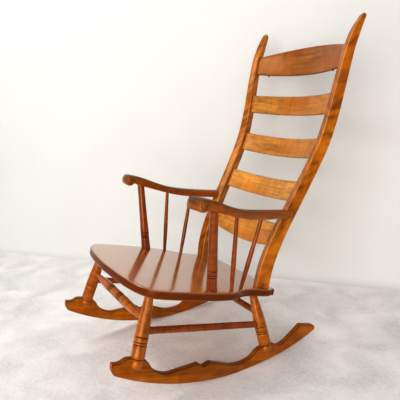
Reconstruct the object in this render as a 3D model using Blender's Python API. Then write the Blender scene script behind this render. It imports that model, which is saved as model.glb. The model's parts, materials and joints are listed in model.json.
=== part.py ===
"""Ladder-back rocking chair, built as its separate turned, sawn and bent wooden pieces.

The pieces are modelled in the chair's own frame: the seat's top is the plane z = 0, y = 0 lies midway
between the arm posts, the sitter faces -Y and the sitter's left is +X. A parent empty then reclines the
whole chair onto its rockers, with the middle of its box over the world's origin and the floor at z = 0.
All lengths are in metres.
"""
import math

import bmesh
import bpy
from mathutils import Matrix, Vector

# Fits between pieces
CLEARANCE = 0.0003

# How the empty chair rests
RECLINE_DEGREES = 15.5
REST_FLAT_LENGTH = 0.060

# Seat plank: a broad front part, shoulders behind the arm posts and a narrower tail
SEAT_THICKNESS = 0.024
SEAT_ROUNDING = 0.005
SEAT_ROUNDING_DEGREES = (0, 30, 60, 90)
SEAT_HALF_WIDTH = 0.265
SEAT_FRONT_Y = -0.252
SEAT_FRONT_BOW = 0.020
SEAT_FRONT_CORNER_X = 0.190
SEAT_CORNER_INSET = 0.024
SEAT_CORNER_RUN = 0.036
SEAT_CORNER_Y = -0.170
SEAT_SIDE_BOW = 0.007
SEAT_WIDEST_Y = -0.050
SEAT_SHOULDER_Y = 0.096
SEAT_SHOULDER_INSET = 0.021
SEAT_SHOULDER_RUN = 0.046
SEAT_TAIL_INSET = 0.052
SEAT_TAIL_Y = 0.175
SEAT_TAIL_FLARE = 0.009
SEAT_TAIL_RUN = 0.042
SEAT_REAR_Y = 0.284
SEAT_REAR_CORNER = 0.034

# Rockers: the ends and the top edge are given as y and the height above the bottom arc
ROCKER_THICKNESS = 0.020
ROCKER_INSET = 0.032
ROCKER_RADIUS = 0.752
ROCKER_CENTRE_Y = -0.014
ROCKER_DROP = 0.281
ROCKER_ARC_FRONT_Y = -0.258
ROCKER_ARC_REAR_Y = 0.250
ROCKER_ROUNDING = 0.003
ROCKER_ARC_STEP_DEGREES = 3.0
ROCKER_NOSE = ((-0.2665, 0.006), (-0.2700, 0.016))
ROCKER_FRONT_TOP = (
    (-0.270, 0.029), (-0.257, 0.033), (-0.246, 0.0395), (-0.237, 0.049), (-0.224, 0.0565),
    (-0.197, 0.062), (-0.168, 0.060), (-0.140, 0.037), (-0.100, 0.030), (-0.052, 0.043), (0.004, 0.0578),
)
ROCKER_NOTCH = (0.024, 0.0465)
ROCKER_REAR_TOP = (
    (0.0465, 0.0572), (0.088, 0.046), (0.127, 0.033), (0.163, 0.028), (0.199, 0.0325), (0.222, 0.051),
    (0.250, 0.0565), (0.280, 0.050), (0.306, 0.031), (0.330, 0.029), (0.360, 0.041), (0.3895, 0.0545),
)
ROCKER_TAIL_SOLE = ((0.318, -0.0035), (0.358, -0.0062), (0.397, -0.0088), (0.430, -0.0112))
ROCKER_TAIL_END = (
    (0.448, -0.0116), (0.456, -0.0115), (0.4585, -0.0085), (0.4575, -0.0022), (0.453, 0.0059),
    (0.4465, 0.0132),
)

# Legs: heights of the turned details are measured up from the foot
FRONT_LEG_INSET = 0.0625
FRONT_LEG_TOP_Y = -0.181
FRONT_LEG_FOOT_Y = -0.196
REAR_LEG_INSET = 0.031
REAR_LEG_TOP_Y = 0.203
REAR_LEG_FOOT_Y = 0.262
LEG_FOOT_OVERLAP = 0.032
LEG_TENON_LENGTH = 0.016
LEG_TENON_RADIUS = 0.013
LEG_TENON_LEAD = 0.018
LEG_SWELL_RADIUS = 0.0185
LEG_SWELL_HEIGHT = 0.123
LEG_RING_RADIUS = 0.0198
LEG_BALL_RADIUS = 0.0207
LEG_BALL_HEIGHT = 0.034
LEG_BALL_DEGREES = (-78, -56, -34, -12, 12, 30, 42)
LEG_BALL_FULLNESS = 0.6
LEG_COLLAR_LENGTH = 0.003
LEG_TAPER_SHARE = 0.45
LEG_GROOVE_HEIGHTS = (0.067, 0.074, 0.089)
GROOVE_DEPTH = 0.0020
GROOVE_HALF_WIDTH = 0.0016

# Stretchers
STRETCHER_SETBACK = 0.004
STRETCHER_TENON_LENGTH = 0.0105
STRETCHER_TENON_RADIUS = 0.0065
PLAIN_STRETCHER_RADIUS = 0.0105
FRONT_STRETCHER_RADIUS = 0.0145
FRONT_STRETCHER_RING_RADIUS = 0.0138
FRONT_STRETCHER_TAPER_RADIUS = 0.0120
FRONT_STRETCHER_Z = -0.098
REAR_STRETCHER_Z = -0.081
SIDE_STRETCHER_FRONT_Z = -0.126
SIDE_STRETCHER_REAR_Z = -0.1165
FRONT_STRETCHER_LEAD = 0.016
FRONT_STRETCHER_SWELL = 0.062
FRONT_STRETCHER_SWELL_RUN = 0.020
FRONT_STRETCHER_RINGS = (0.028, 0.044)
FRONT_STRETCHER_GROOVE_HALF_WIDTH = 0.0035
FRONT_STRETCHER_GROOVE_DEPTH = 0.0028
FRONT_STRETCHER_RING_LAND = 0.006
FRONT_STRETCHER_FLAT = 0.008

# Back posts, turned inwards to meet the slats: height, middle along Y, depth, width, inset of the middle
POST_INSET = 0.0298
POST_SPLAY = 0.0691
POST_TURN_DEGREES = 18.0
POST_ROUNDING = 0.004
POST_TENON_WIDTH = 0.015
POST_TENON_DEPTH = 0.030
POST_TENON_LENGTH = 0.016
POST_TENON_SHIFT = 0.008
POST_STATION_STEP = 0.028
POST_SHAPE = (
    (0.000, 0.2300, 0.045, 0.030, 0.0), (0.060, 0.2265, 0.044, 0.030, 0.0),
    (0.120, 0.2315, 0.043, 0.030, 0.0), (0.200, 0.2475, 0.042, 0.030, 0.0),
    (0.300, 0.2760, 0.040, 0.030, 0.0), (0.400, 0.3040, 0.039, 0.030, 0.0),
    (0.500, 0.3265, 0.038, 0.030, 0.0), (0.600, 0.3330, 0.037, 0.028, 0.0),
    (0.700, 0.3313, 0.036, 0.026, 0.001), (0.800, 0.3315, 0.0315, 0.025, 0.0025),
    (0.850, 0.3375, 0.0285, 0.0252, 0.0045), (0.880, 0.3432, 0.0245, 0.024, 0.0045),
    (0.905, 0.3497, 0.0195, 0.021, 0.0038), (0.927, 0.3560, 0.0150, 0.017, 0.003),
)
POST_TIP_HEIGHT = 0.013
POST_TIP_DEGREES = (28, 52, 74)

# Slats, from the bottom one up to the crest
SLAT_NAMES = ("bottom_slat", "lower_slat", "middle_slat", "upper_slat", "crest_slat")
SLAT_BOWS = (0.026, 0.030, 0.0345, 0.045, 0.048)
SLAT_HEIGHT = 0.070
SLAT_GAP = 0.0827
SLAT_THICKNESS = 0.010
SLAT_TENON_LENGTH = 0.012
BOTTOM_SLAT_Z = 0.1425
BOTTOM_SLAT_BELLY = 0.018
CREST_RISE = 0.036
SLAT_SPANS = 14
SLAT_ROWS = 4

# Arms: stations from the rear end forward, as y, underside, top, inner and outer face beyond the seat's side
ARM_ROUNDING = 0.007
ARM_SHAPE = (
    (0.261, 0.2430, 0.2675, -0.075, -0.036), (0.200, 0.2342, 0.2600, -0.073, -0.031),
    (0.139, 0.2268, 0.2528, -0.068, -0.021), (0.090, 0.2232, 0.2485, -0.062, -0.013),
    (0.040, 0.2240, 0.2475, -0.057, -0.003), (-0.010, 0.2280, 0.2525, -0.052, 0.009),
    (-0.060, 0.2330, 0.2610, -0.049, 0.019), (-0.095, 0.2370, 0.2645, -0.0485, 0.021),
)
ARM_STATION_STEP = 0.022
ARM_TURN_DEGREES = 7.0
ARM_TURN_START_Y = -0.020
ARM_TURN_PIVOT = 0.25
ARM_SCROLL_RADIUS = 0.0185
ARM_SCROLL_CENTRE_Y = -0.119
ARM_SCROLL_START_DEGREES = -58
ARM_SCROLL_END_DEGREES = 80
ARM_SCROLL_STEPS = 7
ARM_SCROLL_CORNER = 0.018
ARM_SCROLL_CORNER_POWER = 3

# Arm posts and spindles
ARM_POST_INSET = 0.030
ARM_POST_LEAN = 0.020
ARM_POST_TOP_Y = -0.061
ARM_POST_BASE_RADIUS = 0.0165
ARM_POST_BODY_RADIUS = 0.0155
ARM_POST_TOP_RADIUS = 0.0122
ARM_POST_TENON_RADIUS = 0.0095
ARM_POST_TENON_LENGTH = 0.011
ARM_POST_HOUSING = 0.005
ARM_POST_SHOULDER = 0.004
ARM_POST_LEAD = 0.010
ARM_POST_FOOT_LENGTH = 0.012
ARM_POST_RING_LAND = 0.008
ARM_POST_GROOVE_HEIGHTS = (0.044, 0.051, 0.0645)
SPINDLE_INSET = 0.021
FRONT_SPINDLE_BASE_Y = 0.077
FRONT_SPINDLE_TOP_INSET = 0.036
FRONT_SPINDLE_TOP_Y = 0.040
REAR_SPINDLE_BASE_Y = 0.134
REAR_SPINDLE_TOP_INSET = 0.044
REAR_SPINDLE_TOP_Y = 0.139
SPINDLE_END_RADIUS = 0.0058
SPINDLE_SWELL_RADIUS = 0.0075
SPINDLE_SEAT_DEPTH = 0.015
SPINDLE_ARM_DEPTH = 0.010
SPINDLE_LEAD = 0.010
SPINDLE_SWELL_SHARE = 0.35
SPINDLE_TAPER_SHARE = 0.65

# Fasteners and hooks
PIN_RADIUS = 0.003
PIN_LENGTH = 0.032
PIN_HEIGHT = 0.016
SCREW_RADIUS = 0.002
SCREW_HEAD_RADIUS = 0.0042
SCREW_HEAD_LENGTH = 0.004
SCREW_HEAD_SINK = 0.002
SCREW_GRIP = 0.014
SCREW_SHIFT = 0.006
HOOK_X = 0.167
HOOK_WIRE_RADIUS = 0.0014
HOOK_SHANK = 0.008
HOOK_DROP = 0.0015
HOOK_BEND_RADIUS = 0.0034
HOOK_BEND_DEGREES = 200.0
HOOK_BEND_STEPS = 12

# Facets of the round pieces
LEG_SIDES = 18
TURNED_SIDES = 16
SPINDLE_SIDES = 12
SMALL_SIDES = 10

SIDES = (("left", 1.0), ("right", -1.0))
SEAT_UNDERSIDE_Z = -SEAT_THICKNESS
SEAT_TAIL_HALF_WIDTH = SEAT_HALF_WIDTH - SEAT_TAIL_INSET
ROCKER_MIDDLE_X = SEAT_HALF_WIDTH - ROCKER_INSET
ROCKER_CENTRE_Z = ROCKER_RADIUS - ROCKER_DROP
FRONT_LEG_TOP_X = SEAT_HALF_WIDTH - FRONT_LEG_INSET
REAR_LEG_TOP_X = SEAT_TAIL_HALF_WIDTH - REAR_LEG_INSET
POST_FOOT_X = SEAT_TAIL_HALF_WIDTH - POST_INSET
ARM_POST_BASE_X = SEAT_HALF_WIDTH - ARM_POST_INSET
ARM_POST_TOP_X = ARM_POST_BASE_X + ARM_POST_LEAN
FRONT_SPINDLE_TOP_X = SEAT_HALF_WIDTH - FRONT_SPINDLE_TOP_INSET
REAR_SPINDLE_TOP_X = SEAT_HALF_WIDTH - REAR_SPINDLE_TOP_INSET

# Finish of each kind of piece: linear colour, roughness, metallic
FINISHES = {
    "seat_maple": ((0.36, 0.13, 0.045), 0.24, 0.0),
    "frame_maple": ((0.42, 0.155, 0.035), 0.32, 0.0),
    "slat_maple": ((0.50, 0.195, 0.050), 0.34, 0.0),
    "rocker_maple": ((0.34, 0.115, 0.020), 0.36, 0.0),
    "dowel_maple": ((0.45, 0.20, 0.07), 0.45, 0.0),
    "dark_steel": ((0.06, 0.055, 0.05), 0.40, 1.0),
}


# Curves and outlines


def smooth_points(points, steps):
    """Return points on a Catmull-Rom curve through the given tuples, each gap split into steps."""
    padded = [points[0], *points, points[-1]]
    result = []
    for before, start, end, after in zip(padded, padded[1:], padded[2:], padded[3:]):
        for step in range(steps):
            t = step / steps
            result.append(tuple(
                0.5 * (2 * b + (c - a) * t + (2 * a - 5 * b + 4 * c - d) * t * t
                       + (3 * b - a - 3 * c + d) * t * t * t)
                for a, b, c, d in zip(before, start, end, after)
            ))
    result.append(tuple(points[-1]))
    return result


def read_curve(points, key):
    """Interpolate the tuples, sorted by their first value, at that value."""
    rows = sorted(points)
    for low, high in zip(rows, rows[1:]):
        if key <= high[0]:
            t = (key - low[0]) / (high[0] - low[0])
            return tuple(a + (b - a) * t for a, b in zip(low[1:], high[1:]))
    return rows[-1][1:]


def rounded_rectangle(low, high, radius):
    """Return the corners of a rectangle between two points, each corner rounded by three points."""
    radius = min(radius, 0.45 * (high[0] - low[0]), 0.45 * (high[1] - low[1]))
    (left, bottom), (right, top) = low, high
    corners = ((right, top, 0), (left, top, 90), (left, bottom, 180), (right, bottom, 270))
    points = []
    for x, y, start in corners:
        middle_x = x - radius if x == right else x + radius
        middle_y = y - radius if y == top else y + radius
        for angle in (start, start + 45, start + 90):
            turn = math.radians(angle)
            points.append((middle_x + radius * math.cos(turn), middle_y + radius * math.sin(turn)))
    return points


def grown_outline(outline, distance):
    """Move each edge of an outline outwards, the outline running anticlockwise."""
    result = []
    count = len(outline)
    for index, point in enumerate(outline):
        here = Vector(point)
        into = (here - Vector(outline[index - 1])).normalized()
        away = (Vector(outline[(index + 1) % count]) - here).normalized()
        normal = Vector((into.y + away.y, -into.x - away.x)).normalized()
        result.append(here + normal * distance / max(0.4, normal.dot(Vector((into.y, -into.x)))))
    return result


# Meshes and objects


def add_loft(mesh, rings, matrix):
    """Add a closed body that runs through the rings of points, with both ends capped."""
    made = [[mesh.verts.new(matrix @ Vector(point)) for point in ring] for ring in rings]
    for first, second in zip(made, made[1:]):
        for index in range(len(first)):
            mesh.faces.new((first[index - 1], first[index], second[index], second[index - 1]))
    mesh.faces.new(list(reversed(made[0])))
    mesh.faces.new(made[-1])


def add_turning(mesh, profile, sides, matrix):
    """Add a body turned round the local Z axis from (height, radius) pairs."""
    turns = [2 * math.pi * index / sides for index in range(sides)]
    add_loft(mesh, [[(r * math.cos(a), r * math.sin(a), z) for a in turns] for z, r in profile], matrix)


def mirrored(side):
    """Return the matrix that puts a left-hand piece on the given side."""
    return Matrix.Diagonal((side, 1.0, 1.0, 1.0))


def axis_matrix(start, end):
    """Return the matrix whose Z axis runs from start to end."""
    turn = (Vector(end) - Vector(start)).to_track_quat("Z", "Y")
    return Matrix.Translation(Vector(start)) @ turn.to_matrix().to_4x4()


def make_finishes():
    """Make one Principled material for each finish."""
    for name, (colour, roughness, metallic) in FINISHES.items():
        material = bpy.data.materials.new(name)
        material.use_nodes = True
        shader = material.node_tree.nodes["Principled BSDF"]
        shader.inputs["Base Color"].default_value = (*colour, 1.0)
        shader.inputs["Roughness"].default_value = roughness
        shader.inputs["Metallic"].default_value = metallic
        material.diffuse_color = (*colour, 1.0)


def make_object(name, mesh, chair, matrix=None):
    """Turn a bmesh into an object carried by the chair's empty."""
    bmesh.ops.recalc_face_normals(mesh, faces=mesh.faces)
    data = bpy.data.meshes.new(name)
    mesh.to_mesh(data)
    mesh.free()
    piece = bpy.data.objects.new(name, data)
    bpy.context.scene.collection.objects.link(piece)
    piece.parent = chair
    piece.matrix_local = matrix or Matrix.Identity(4)
    return piece


def make_piece(name, mesh, chair, finish, matrix=None):
    """Make one sub-part with its finish."""
    piece = make_object(name, mesh, chair, matrix)
    piece.data.materials.append(bpy.data.materials[finish])
    return piece


def make_turned_piece(name, start, end, profile, sides, chair, finish):
    """Make a turned piece whose local Z axis runs from start to end."""
    mesh = bmesh.new()
    add_turning(mesh, profile, sides, Matrix.Identity(4))
    return make_piece(name, mesh, chair, finish, axis_matrix(start, end))


def cut_with(piece, label, mesh, chair):
    """Cut the bodies of a mesh out of a piece, with a hidden cutter."""
    cutter = make_object(piece.name + "_" + label, mesh, chair)
    cutter.display_type = "WIRE"
    cutter.hide_render = True
    cutter.hide_set(True)
    boolean = piece.modifiers.new(label, "BOOLEAN")
    boolean.operation = "DIFFERENCE"
    boolean.solver = "EXACT"
    boolean.object = cutter


def join_with(piece, label, mesh, chair):
    """Join the body of a mesh to a piece, with a hidden helper."""
    cut_with(piece, label, mesh, chair)
    piece.modifiers[label].operation = "UNION"


def round_edges(piece, width, segments):
    """Round the sharp edges of a piece."""
    bevel = piece.modifiers.new("rounding", "BEVEL")
    bevel.width = width
    bevel.segments = segments
    bevel.limit_method = "ANGLE"
    bevel.angle_limit = math.radians(35)


# Places that several pieces share


def seat_half_outline():
    """Return the seat's left half from the front middle to the rear middle."""
    knots = (
        (0.0, SEAT_FRONT_Y),
        (0.55 * SEAT_FRONT_CORNER_X, SEAT_FRONT_Y + 0.3 * SEAT_FRONT_BOW),
        (SEAT_FRONT_CORNER_X, SEAT_FRONT_Y + SEAT_FRONT_BOW),
        (SEAT_HALF_WIDTH - SEAT_CORNER_INSET, SEAT_CORNER_Y - SEAT_CORNER_RUN),
        (SEAT_HALF_WIDTH - SEAT_SIDE_BOW, SEAT_CORNER_Y),
        (SEAT_HALF_WIDTH, SEAT_WIDEST_Y),
        (SEAT_HALF_WIDTH - SEAT_SIDE_BOW, SEAT_SHOULDER_Y - SEAT_SHOULDER_RUN),
        (SEAT_HALF_WIDTH - SEAT_SHOULDER_INSET, SEAT_SHOULDER_Y),
        (SEAT_TAIL_HALF_WIDTH + SEAT_TAIL_FLARE, SEAT_TAIL_Y - SEAT_TAIL_RUN),
        (SEAT_TAIL_HALF_WIDTH, SEAT_TAIL_Y),
        (SEAT_TAIL_HALF_WIDTH, SEAT_REAR_Y - 1.5 * SEAT_REAR_CORNER),
        (SEAT_TAIL_HALF_WIDTH - 0.3 * SEAT_REAR_CORNER, SEAT_REAR_Y - 0.6 * SEAT_REAR_CORNER),
        (SEAT_TAIL_HALF_WIDTH - SEAT_REAR_CORNER, SEAT_REAR_Y - 0.1 * SEAT_REAR_CORNER),
        (0.0, SEAT_REAR_Y),
    )
    return smooth_points(knots, 3)


def seat_half_width(y):
    """Return the seat's half width at a place between its front and rear corners."""
    side = [(b, a) for a, b in seat_half_outline() if a > SEAT_TAIL_HALF_WIDTH - 0.3 * SEAT_REAR_CORNER]
    return read_curve(side, y)[0]


def arc_z(y):
    """Return the height of the rocker's bottom arc."""
    return ROCKER_CENTRE_Z - math.sqrt(ROCKER_RADIUS ** 2 - (y - ROCKER_CENTRE_Y) ** 2)


def rocker_top():
    """Return the rocker's top edge from front to rear."""
    edge = smooth_points(ROCKER_FRONT_TOP, 4) + [ROCKER_NOTCH] + smooth_points(ROCKER_REAR_TOP, 4)
    return [(y, arc_z(y) + height) for y, height in edge]


def rocker_outline():
    """Return the rocker's side outline as (y, z), anticlockwise seen from +X."""
    rest = math.radians(RECLINE_DEGREES)
    half = math.asin(0.5 * REST_FLAT_LENGTH / ROCKER_RADIUS)
    first = math.asin((ROCKER_ARC_FRONT_Y - ROCKER_CENTRE_Y) / ROCKER_RADIUS)
    last = math.asin((ROCKER_ARC_REAR_Y - ROCKER_CENTRE_Y) / ROCKER_RADIUS)
    step = math.radians(ROCKER_ARC_STEP_DEGREES)
    turns = []
    for start, end in ((first, rest - half), (rest + half, last)):
        count = max(1, round((end - start) / step))
        turns += [start + (end - start) * index / count for index in range(count + 1)]
    arc = []
    for turn in turns:
        y = ROCKER_CENTRE_Y + ROCKER_RADIUS * math.sin(turn)
        arc.append((y, ROCKER_CENTRE_Z - ROCKER_RADIUS * math.cos(turn)))
    nose = [(y, arc_z(y) + height) for y, height in ROCKER_NOSE]
    tail = [(y, arc_z(y) + height) for y, height in ROCKER_TAIL_SOLE + ROCKER_TAIL_END]
    return arc + tail + list(reversed(rocker_top())) + list(reversed(nose))


def add_rocker_slab(mesh, outline, thickness, side):
    """Add a slab of the given outline round the middle plane of one rocker."""
    middle = side * ROCKER_MIDDLE_X
    rings = [[(middle + offset, y, z) for y, z in outline] for offset in (-thickness / 2, thickness / 2)]
    add_loft(mesh, rings, Matrix.Identity(4))


def leg_ends(end, side):
    """Return a leg's foot and the end of its tenon in the seat."""
    top_x, top_y, foot_y = {
        "front": (FRONT_LEG_TOP_X, FRONT_LEG_TOP_Y, FRONT_LEG_FOOT_Y),
        "rear": (REAR_LEG_TOP_X, REAR_LEG_TOP_Y, REAR_LEG_FOOT_Y),
    }[end]
    pin_z = read_curve(rocker_top(), foot_y)[0] - LEG_FOOT_OVERLAP + PIN_HEIGHT
    pin = Vector((side * ROCKER_MIDDLE_X, foot_y, pin_z))
    top = Vector((side * top_x, top_y, SEAT_UNDERSIDE_Z))
    along = (top - pin).normalized()
    return pin - along * PIN_HEIGHT, top + along * LEG_TENON_LENGTH


def leg_point(end, side, z):
    """Return the place on a leg's axis at a height."""
    foot, top = leg_ends(end, side)
    return foot.lerp(top, (z - foot.z) / (top.z - foot.z))


def set_back(start, end, distance):
    """Return both ends of a stretch, each moved towards the other."""
    along = (end - start).normalized() * distance
    return start + along, end - along


def stretcher_ends():
    """Return the two tenon ends of every stretcher, by name."""
    ends = {}
    for end, z in (("front", FRONT_STRETCHER_Z), ("rear", REAR_STRETCHER_Z)):
        ends[end + "_stretcher"] = (leg_point(end, 1, z), leg_point(end, -1, z))
    for label, side in SIDES:
        ends["side_stretcher_" + label] = (
            leg_point("front", side, SIDE_STRETCHER_FRONT_Z),
            leg_point("rear", side, SIDE_STRETCHER_REAR_Z),
        )
    return {name: set_back(start, end, STRETCHER_SETBACK) for name, (start, end) in ends.items()}


def post_section(z):
    """Return the middle along Y, the depth, the width and the inset of a back post at a height."""
    return read_curve(smooth_points(POST_SHAPE, 6), z)


def post_point(z, across, back):
    """Return a place in the left back post, so far outwards and back from its middle line."""
    turn = math.radians(POST_TURN_DEGREES)
    middle, _, _, inset = post_section(z)
    x = POST_FOOT_X + POST_SPLAY * z - inset + across * math.cos(turn) + back * math.sin(turn)
    y = middle - across * math.sin(turn) + back * math.cos(turn)
    return Vector((x, y, z))


def post_inner_point(z):
    """Return the middle of the left back post's inner face at a height."""
    return post_point(z, -post_section(z)[2] / 2, 0.0)


def arm_section(y):
    """Return an arm's underside, top, inner x and outer x behind its scroll."""
    underside, top, inner, outer = read_curve(smooth_points(ARM_SHAPE, 5), y)
    return underside, top, SEAT_HALF_WIDTH + inner, SEAT_HALF_WIDTH + outer


def upright_ends(base, top_x, top_y, side, seat_depth, arm_depth):
    """Return the ends of a turned upright that stands in the seat and carries the arm."""
    low = Vector((side * base[0], base[1], 0.0))
    high = Vector((side * top_x, top_y, arm_section(top_y)[0]))
    along = (high - low).normalized()
    return low - along * seat_depth, high + along * arm_depth


def arm_post_ends(side):
    """Return the ends of an arm post with its tenons."""
    base = (ARM_POST_BASE_X, 0.0)
    depth = ARM_POST_HOUSING + ARM_POST_TENON_LENGTH
    return upright_ends(base, ARM_POST_TOP_X, ARM_POST_TOP_Y, side, depth, ARM_POST_TENON_LENGTH)


def spindle_ends(place, side):
    """Return the ends of a spindle with what stands in the seat and in the arm."""
    base_y, top_x, top_y = {
        "front": (FRONT_SPINDLE_BASE_Y, FRONT_SPINDLE_TOP_X, FRONT_SPINDLE_TOP_Y),
        "rear": (REAR_SPINDLE_BASE_Y, REAR_SPINDLE_TOP_X, REAR_SPINDLE_TOP_Y),
    }[place]
    base = (seat_half_width(base_y) - SPINDLE_INSET, base_y)
    return upright_ends(base, top_x, top_y, side, SPINDLE_SEAT_DEPTH, SPINDLE_ARM_DEPTH)


def screw_ends(side):
    """Return the head end and the point of the screw from a back post into the arm."""
    underside, top, _, _ = arm_section(ARM_SHAPE[0][0])
    z = 0.5 * (underside + top)
    depth = post_section(z)[1]
    head = post_point(z, SCREW_SHIFT, depth / 2 - SCREW_HEAD_SINK)
    point = post_point(z, SCREW_SHIFT, -depth / 2 - SCREW_GRIP)
    return mirrored(side) @ head, mirrored(side) @ point


def pin_ends(end, side):
    """Return the ends of the pin through a leg's foot and its rocker."""
    foot, top = leg_ends(end, side)
    middle = foot + (top - foot).normalized() * PIN_HEIGHT
    reach = Vector((PIN_LENGTH / 2, 0.0, 0.0))
    return middle - reach, middle + reach


# Profiles of the turned pieces, as (distance, radius) from the first end


def grooves(heights, radius, half_width=GROOVE_HALF_WIDTH, depth=GROOVE_DEPTH):
    """Return the profile points of V grooves cut at the given heights."""
    points = []
    for height in heights:
        points += [(height - half_width, radius), (height, radius - depth), (height + half_width, radius)]
    return points


def ball_points():
    """Return the profile of a leg's rounded foot up to the groove above it."""
    middle = 0.5 * LEG_BALL_HEIGHT
    points = []
    for degrees in LEG_BALL_DEGREES:
        turn = math.radians(degrees)
        radius = LEG_BALL_RADIUS * math.cos(turn) ** LEG_BALL_FULLNESS
        points.append((middle + middle * math.sin(turn), radius))
    return points


def leg_profile(length):
    """Return a leg's profile from the foot to the end of its tenon."""
    seat = length - LEG_TENON_LENGTH
    ball = ball_points()
    taper = LEG_TENON_RADIUS + LEG_TAPER_SHARE * (LEG_SWELL_RADIUS - LEG_TENON_RADIUS)
    return [
        *ball,
        (ball[-1][0] + LEG_COLLAR_LENGTH, LEG_RING_RADIUS),
        *grooves(LEG_GROOVE_HEIGHTS, LEG_RING_RADIUS),
        (LEG_SWELL_HEIGHT, LEG_SWELL_RADIUS),
        (0.5 * (LEG_SWELL_HEIGHT + seat), taper),
        (seat - LEG_TENON_LEAD, LEG_TENON_RADIUS),
        (length, LEG_TENON_RADIUS),
    ]


def socket_profile(profile, mouth):
    """Return the profile of the hole for the last stretch of a turning, from the mouth inwards."""
    inner = [(z + CLEARANCE, r + CLEARANCE) for z, r in profile if z > mouth]
    return [(mouth, inner[0][1]), *inner]


def both_ends(half, length):
    """Return a profile that runs out to the middle and back the same way."""
    return half + [(length - z, r) for z, r in reversed(half)]


def plain_stretcher_profile(length):
    """Return the profile of a dowel with a tenon on each end."""
    half = [
        (0.0, STRETCHER_TENON_RADIUS), (STRETCHER_TENON_LENGTH, STRETCHER_TENON_RADIUS),
        (STRETCHER_TENON_LENGTH, PLAIN_STRETCHER_RADIUS)]
    return both_ends(half, length)


def front_stretcher_profile(length):
    """Return the profile of the turned front stretcher with its two groups of rings."""
    middle = length / 2
    swell = middle - FRONT_STRETCHER_SWELL
    rings = sorted(middle - ring for ring in FRONT_STRETCHER_RINGS)
    half = [
        (0.0, STRETCHER_TENON_RADIUS),
        (FRONT_STRETCHER_LEAD, STRETCHER_TENON_RADIUS),
        (0.5 * (FRONT_STRETCHER_LEAD + swell), FRONT_STRETCHER_TAPER_RADIUS),
        (swell - FRONT_STRETCHER_SWELL_RUN, FRONT_STRETCHER_RING_RADIUS),
        (swell, FRONT_STRETCHER_RADIUS),
        (rings[0] - FRONT_STRETCHER_RING_LAND, FRONT_STRETCHER_RING_RADIUS),
        *grooves(rings, FRONT_STRETCHER_RING_RADIUS, FRONT_STRETCHER_GROOVE_HALF_WIDTH,
                 FRONT_STRETCHER_GROOVE_DEPTH),
        (middle - FRONT_STRETCHER_FLAT, FRONT_STRETCHER_RING_RADIUS),
    ]
    return both_ends(half, length)


def stretcher_profile(name, length):
    """Return the profile of the named stretcher."""
    if name == "front_stretcher":
        return front_stretcher_profile(length)
    return plain_stretcher_profile(length)


def arm_post_profile(length):
    """Return an arm post's profile from the tenon in the seat to the tenon in the arm."""
    seat = ARM_POST_TENON_LENGTH + ARM_POST_HOUSING
    arm = length - ARM_POST_TENON_LENGTH
    groove_places = [seat + height for height in ARM_POST_GROOVE_HEIGHTS]
    return [
        (0.0, ARM_POST_TENON_RADIUS),
        (ARM_POST_TENON_LENGTH, ARM_POST_TENON_RADIUS),
        (ARM_POST_TENON_LENGTH, ARM_POST_BASE_RADIUS),
        (seat + ARM_POST_FOOT_LENGTH, ARM_POST_BASE_RADIUS),
        (groove_places[0] - ARM_POST_RING_LAND, ARM_POST_BODY_RADIUS),
        *grooves(groove_places, ARM_POST_BODY_RADIUS),
        (0.5 * (seat + arm), 0.5 * (ARM_POST_BODY_RADIUS + ARM_POST_TOP_RADIUS)),
        (arm - ARM_POST_LEAD, ARM_POST_TOP_RADIUS),
        (arm + ARM_POST_SHOULDER, ARM_POST_TOP_RADIUS),
        (arm + ARM_POST_SHOULDER, ARM_POST_TENON_RADIUS),
        (length, ARM_POST_TENON_RADIUS),
    ]


def spindle_profile(length):
    """Return a spindle's profile from its end in the seat to its end in the arm."""
    seat = SPINDLE_SEAT_DEPTH
    arm = length - SPINDLE_ARM_DEPTH
    return [
        (0.0, SPINDLE_END_RADIUS),
        (seat + SPINDLE_LEAD, SPINDLE_END_RADIUS),
        (seat + SPINDLE_SWELL_SHARE * (arm - seat), SPINDLE_SWELL_RADIUS),
        (seat + SPINDLE_TAPER_SHARE * (arm - seat), 0.5 * (SPINDLE_SWELL_RADIUS + SPINDLE_END_RADIUS)),
        (arm - SPINDLE_LEAD, SPINDLE_END_RADIUS),
        (length, SPINDLE_END_RADIUS),
    ]


def screw_profile(length, grow, mouth):
    """Return a wood screw's profile from head to point, or its hole's, grown and led out to a mouth."""
    return [
        (-mouth, SCREW_HEAD_RADIUS + grow),
        (SCREW_HEAD_LENGTH / 2, SCREW_HEAD_RADIUS + grow),
        (SCREW_HEAD_LENGTH, SCREW_RADIUS + grow),
        (length + grow, SCREW_RADIUS + grow),
    ]


def reversed_profile(profile):
    """Return a profile seen from its other end."""
    length = profile[-1][0]
    return [(length - z, r) for z, r in reversed(profile)]


def add_socket(mesh, start, end, profile, sides, depth):
    """Add the hole that takes a turning's last stretch, which goes in by depth."""
    matrix = axis_matrix(start, end)
    length = profile[-1][0]
    add_turning(mesh, socket_profile(profile, length - depth), sides, matrix)


def add_pin_hole(mesh, end, side):
    """Add the hole for a rocker pin, open at both ends."""
    start, stop = pin_ends(end, side)
    profile = [(-PIN_LENGTH / 2, PIN_RADIUS + CLEARANCE), (1.5 * PIN_LENGTH, PIN_RADIUS + CLEARANCE)]
    add_turning(mesh, profile, SMALL_SIDES, axis_matrix(start, stop))


def add_screw_hole(mesh, side):
    """Add the hole for an arm screw, open at the back of the post."""
    start, end = screw_ends(side)
    profile = screw_profile((end - start).length, CLEARANCE, 3 * SCREW_HEAD_SINK)
    add_turning(mesh, profile, SMALL_SIDES, axis_matrix(start, end))


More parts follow.
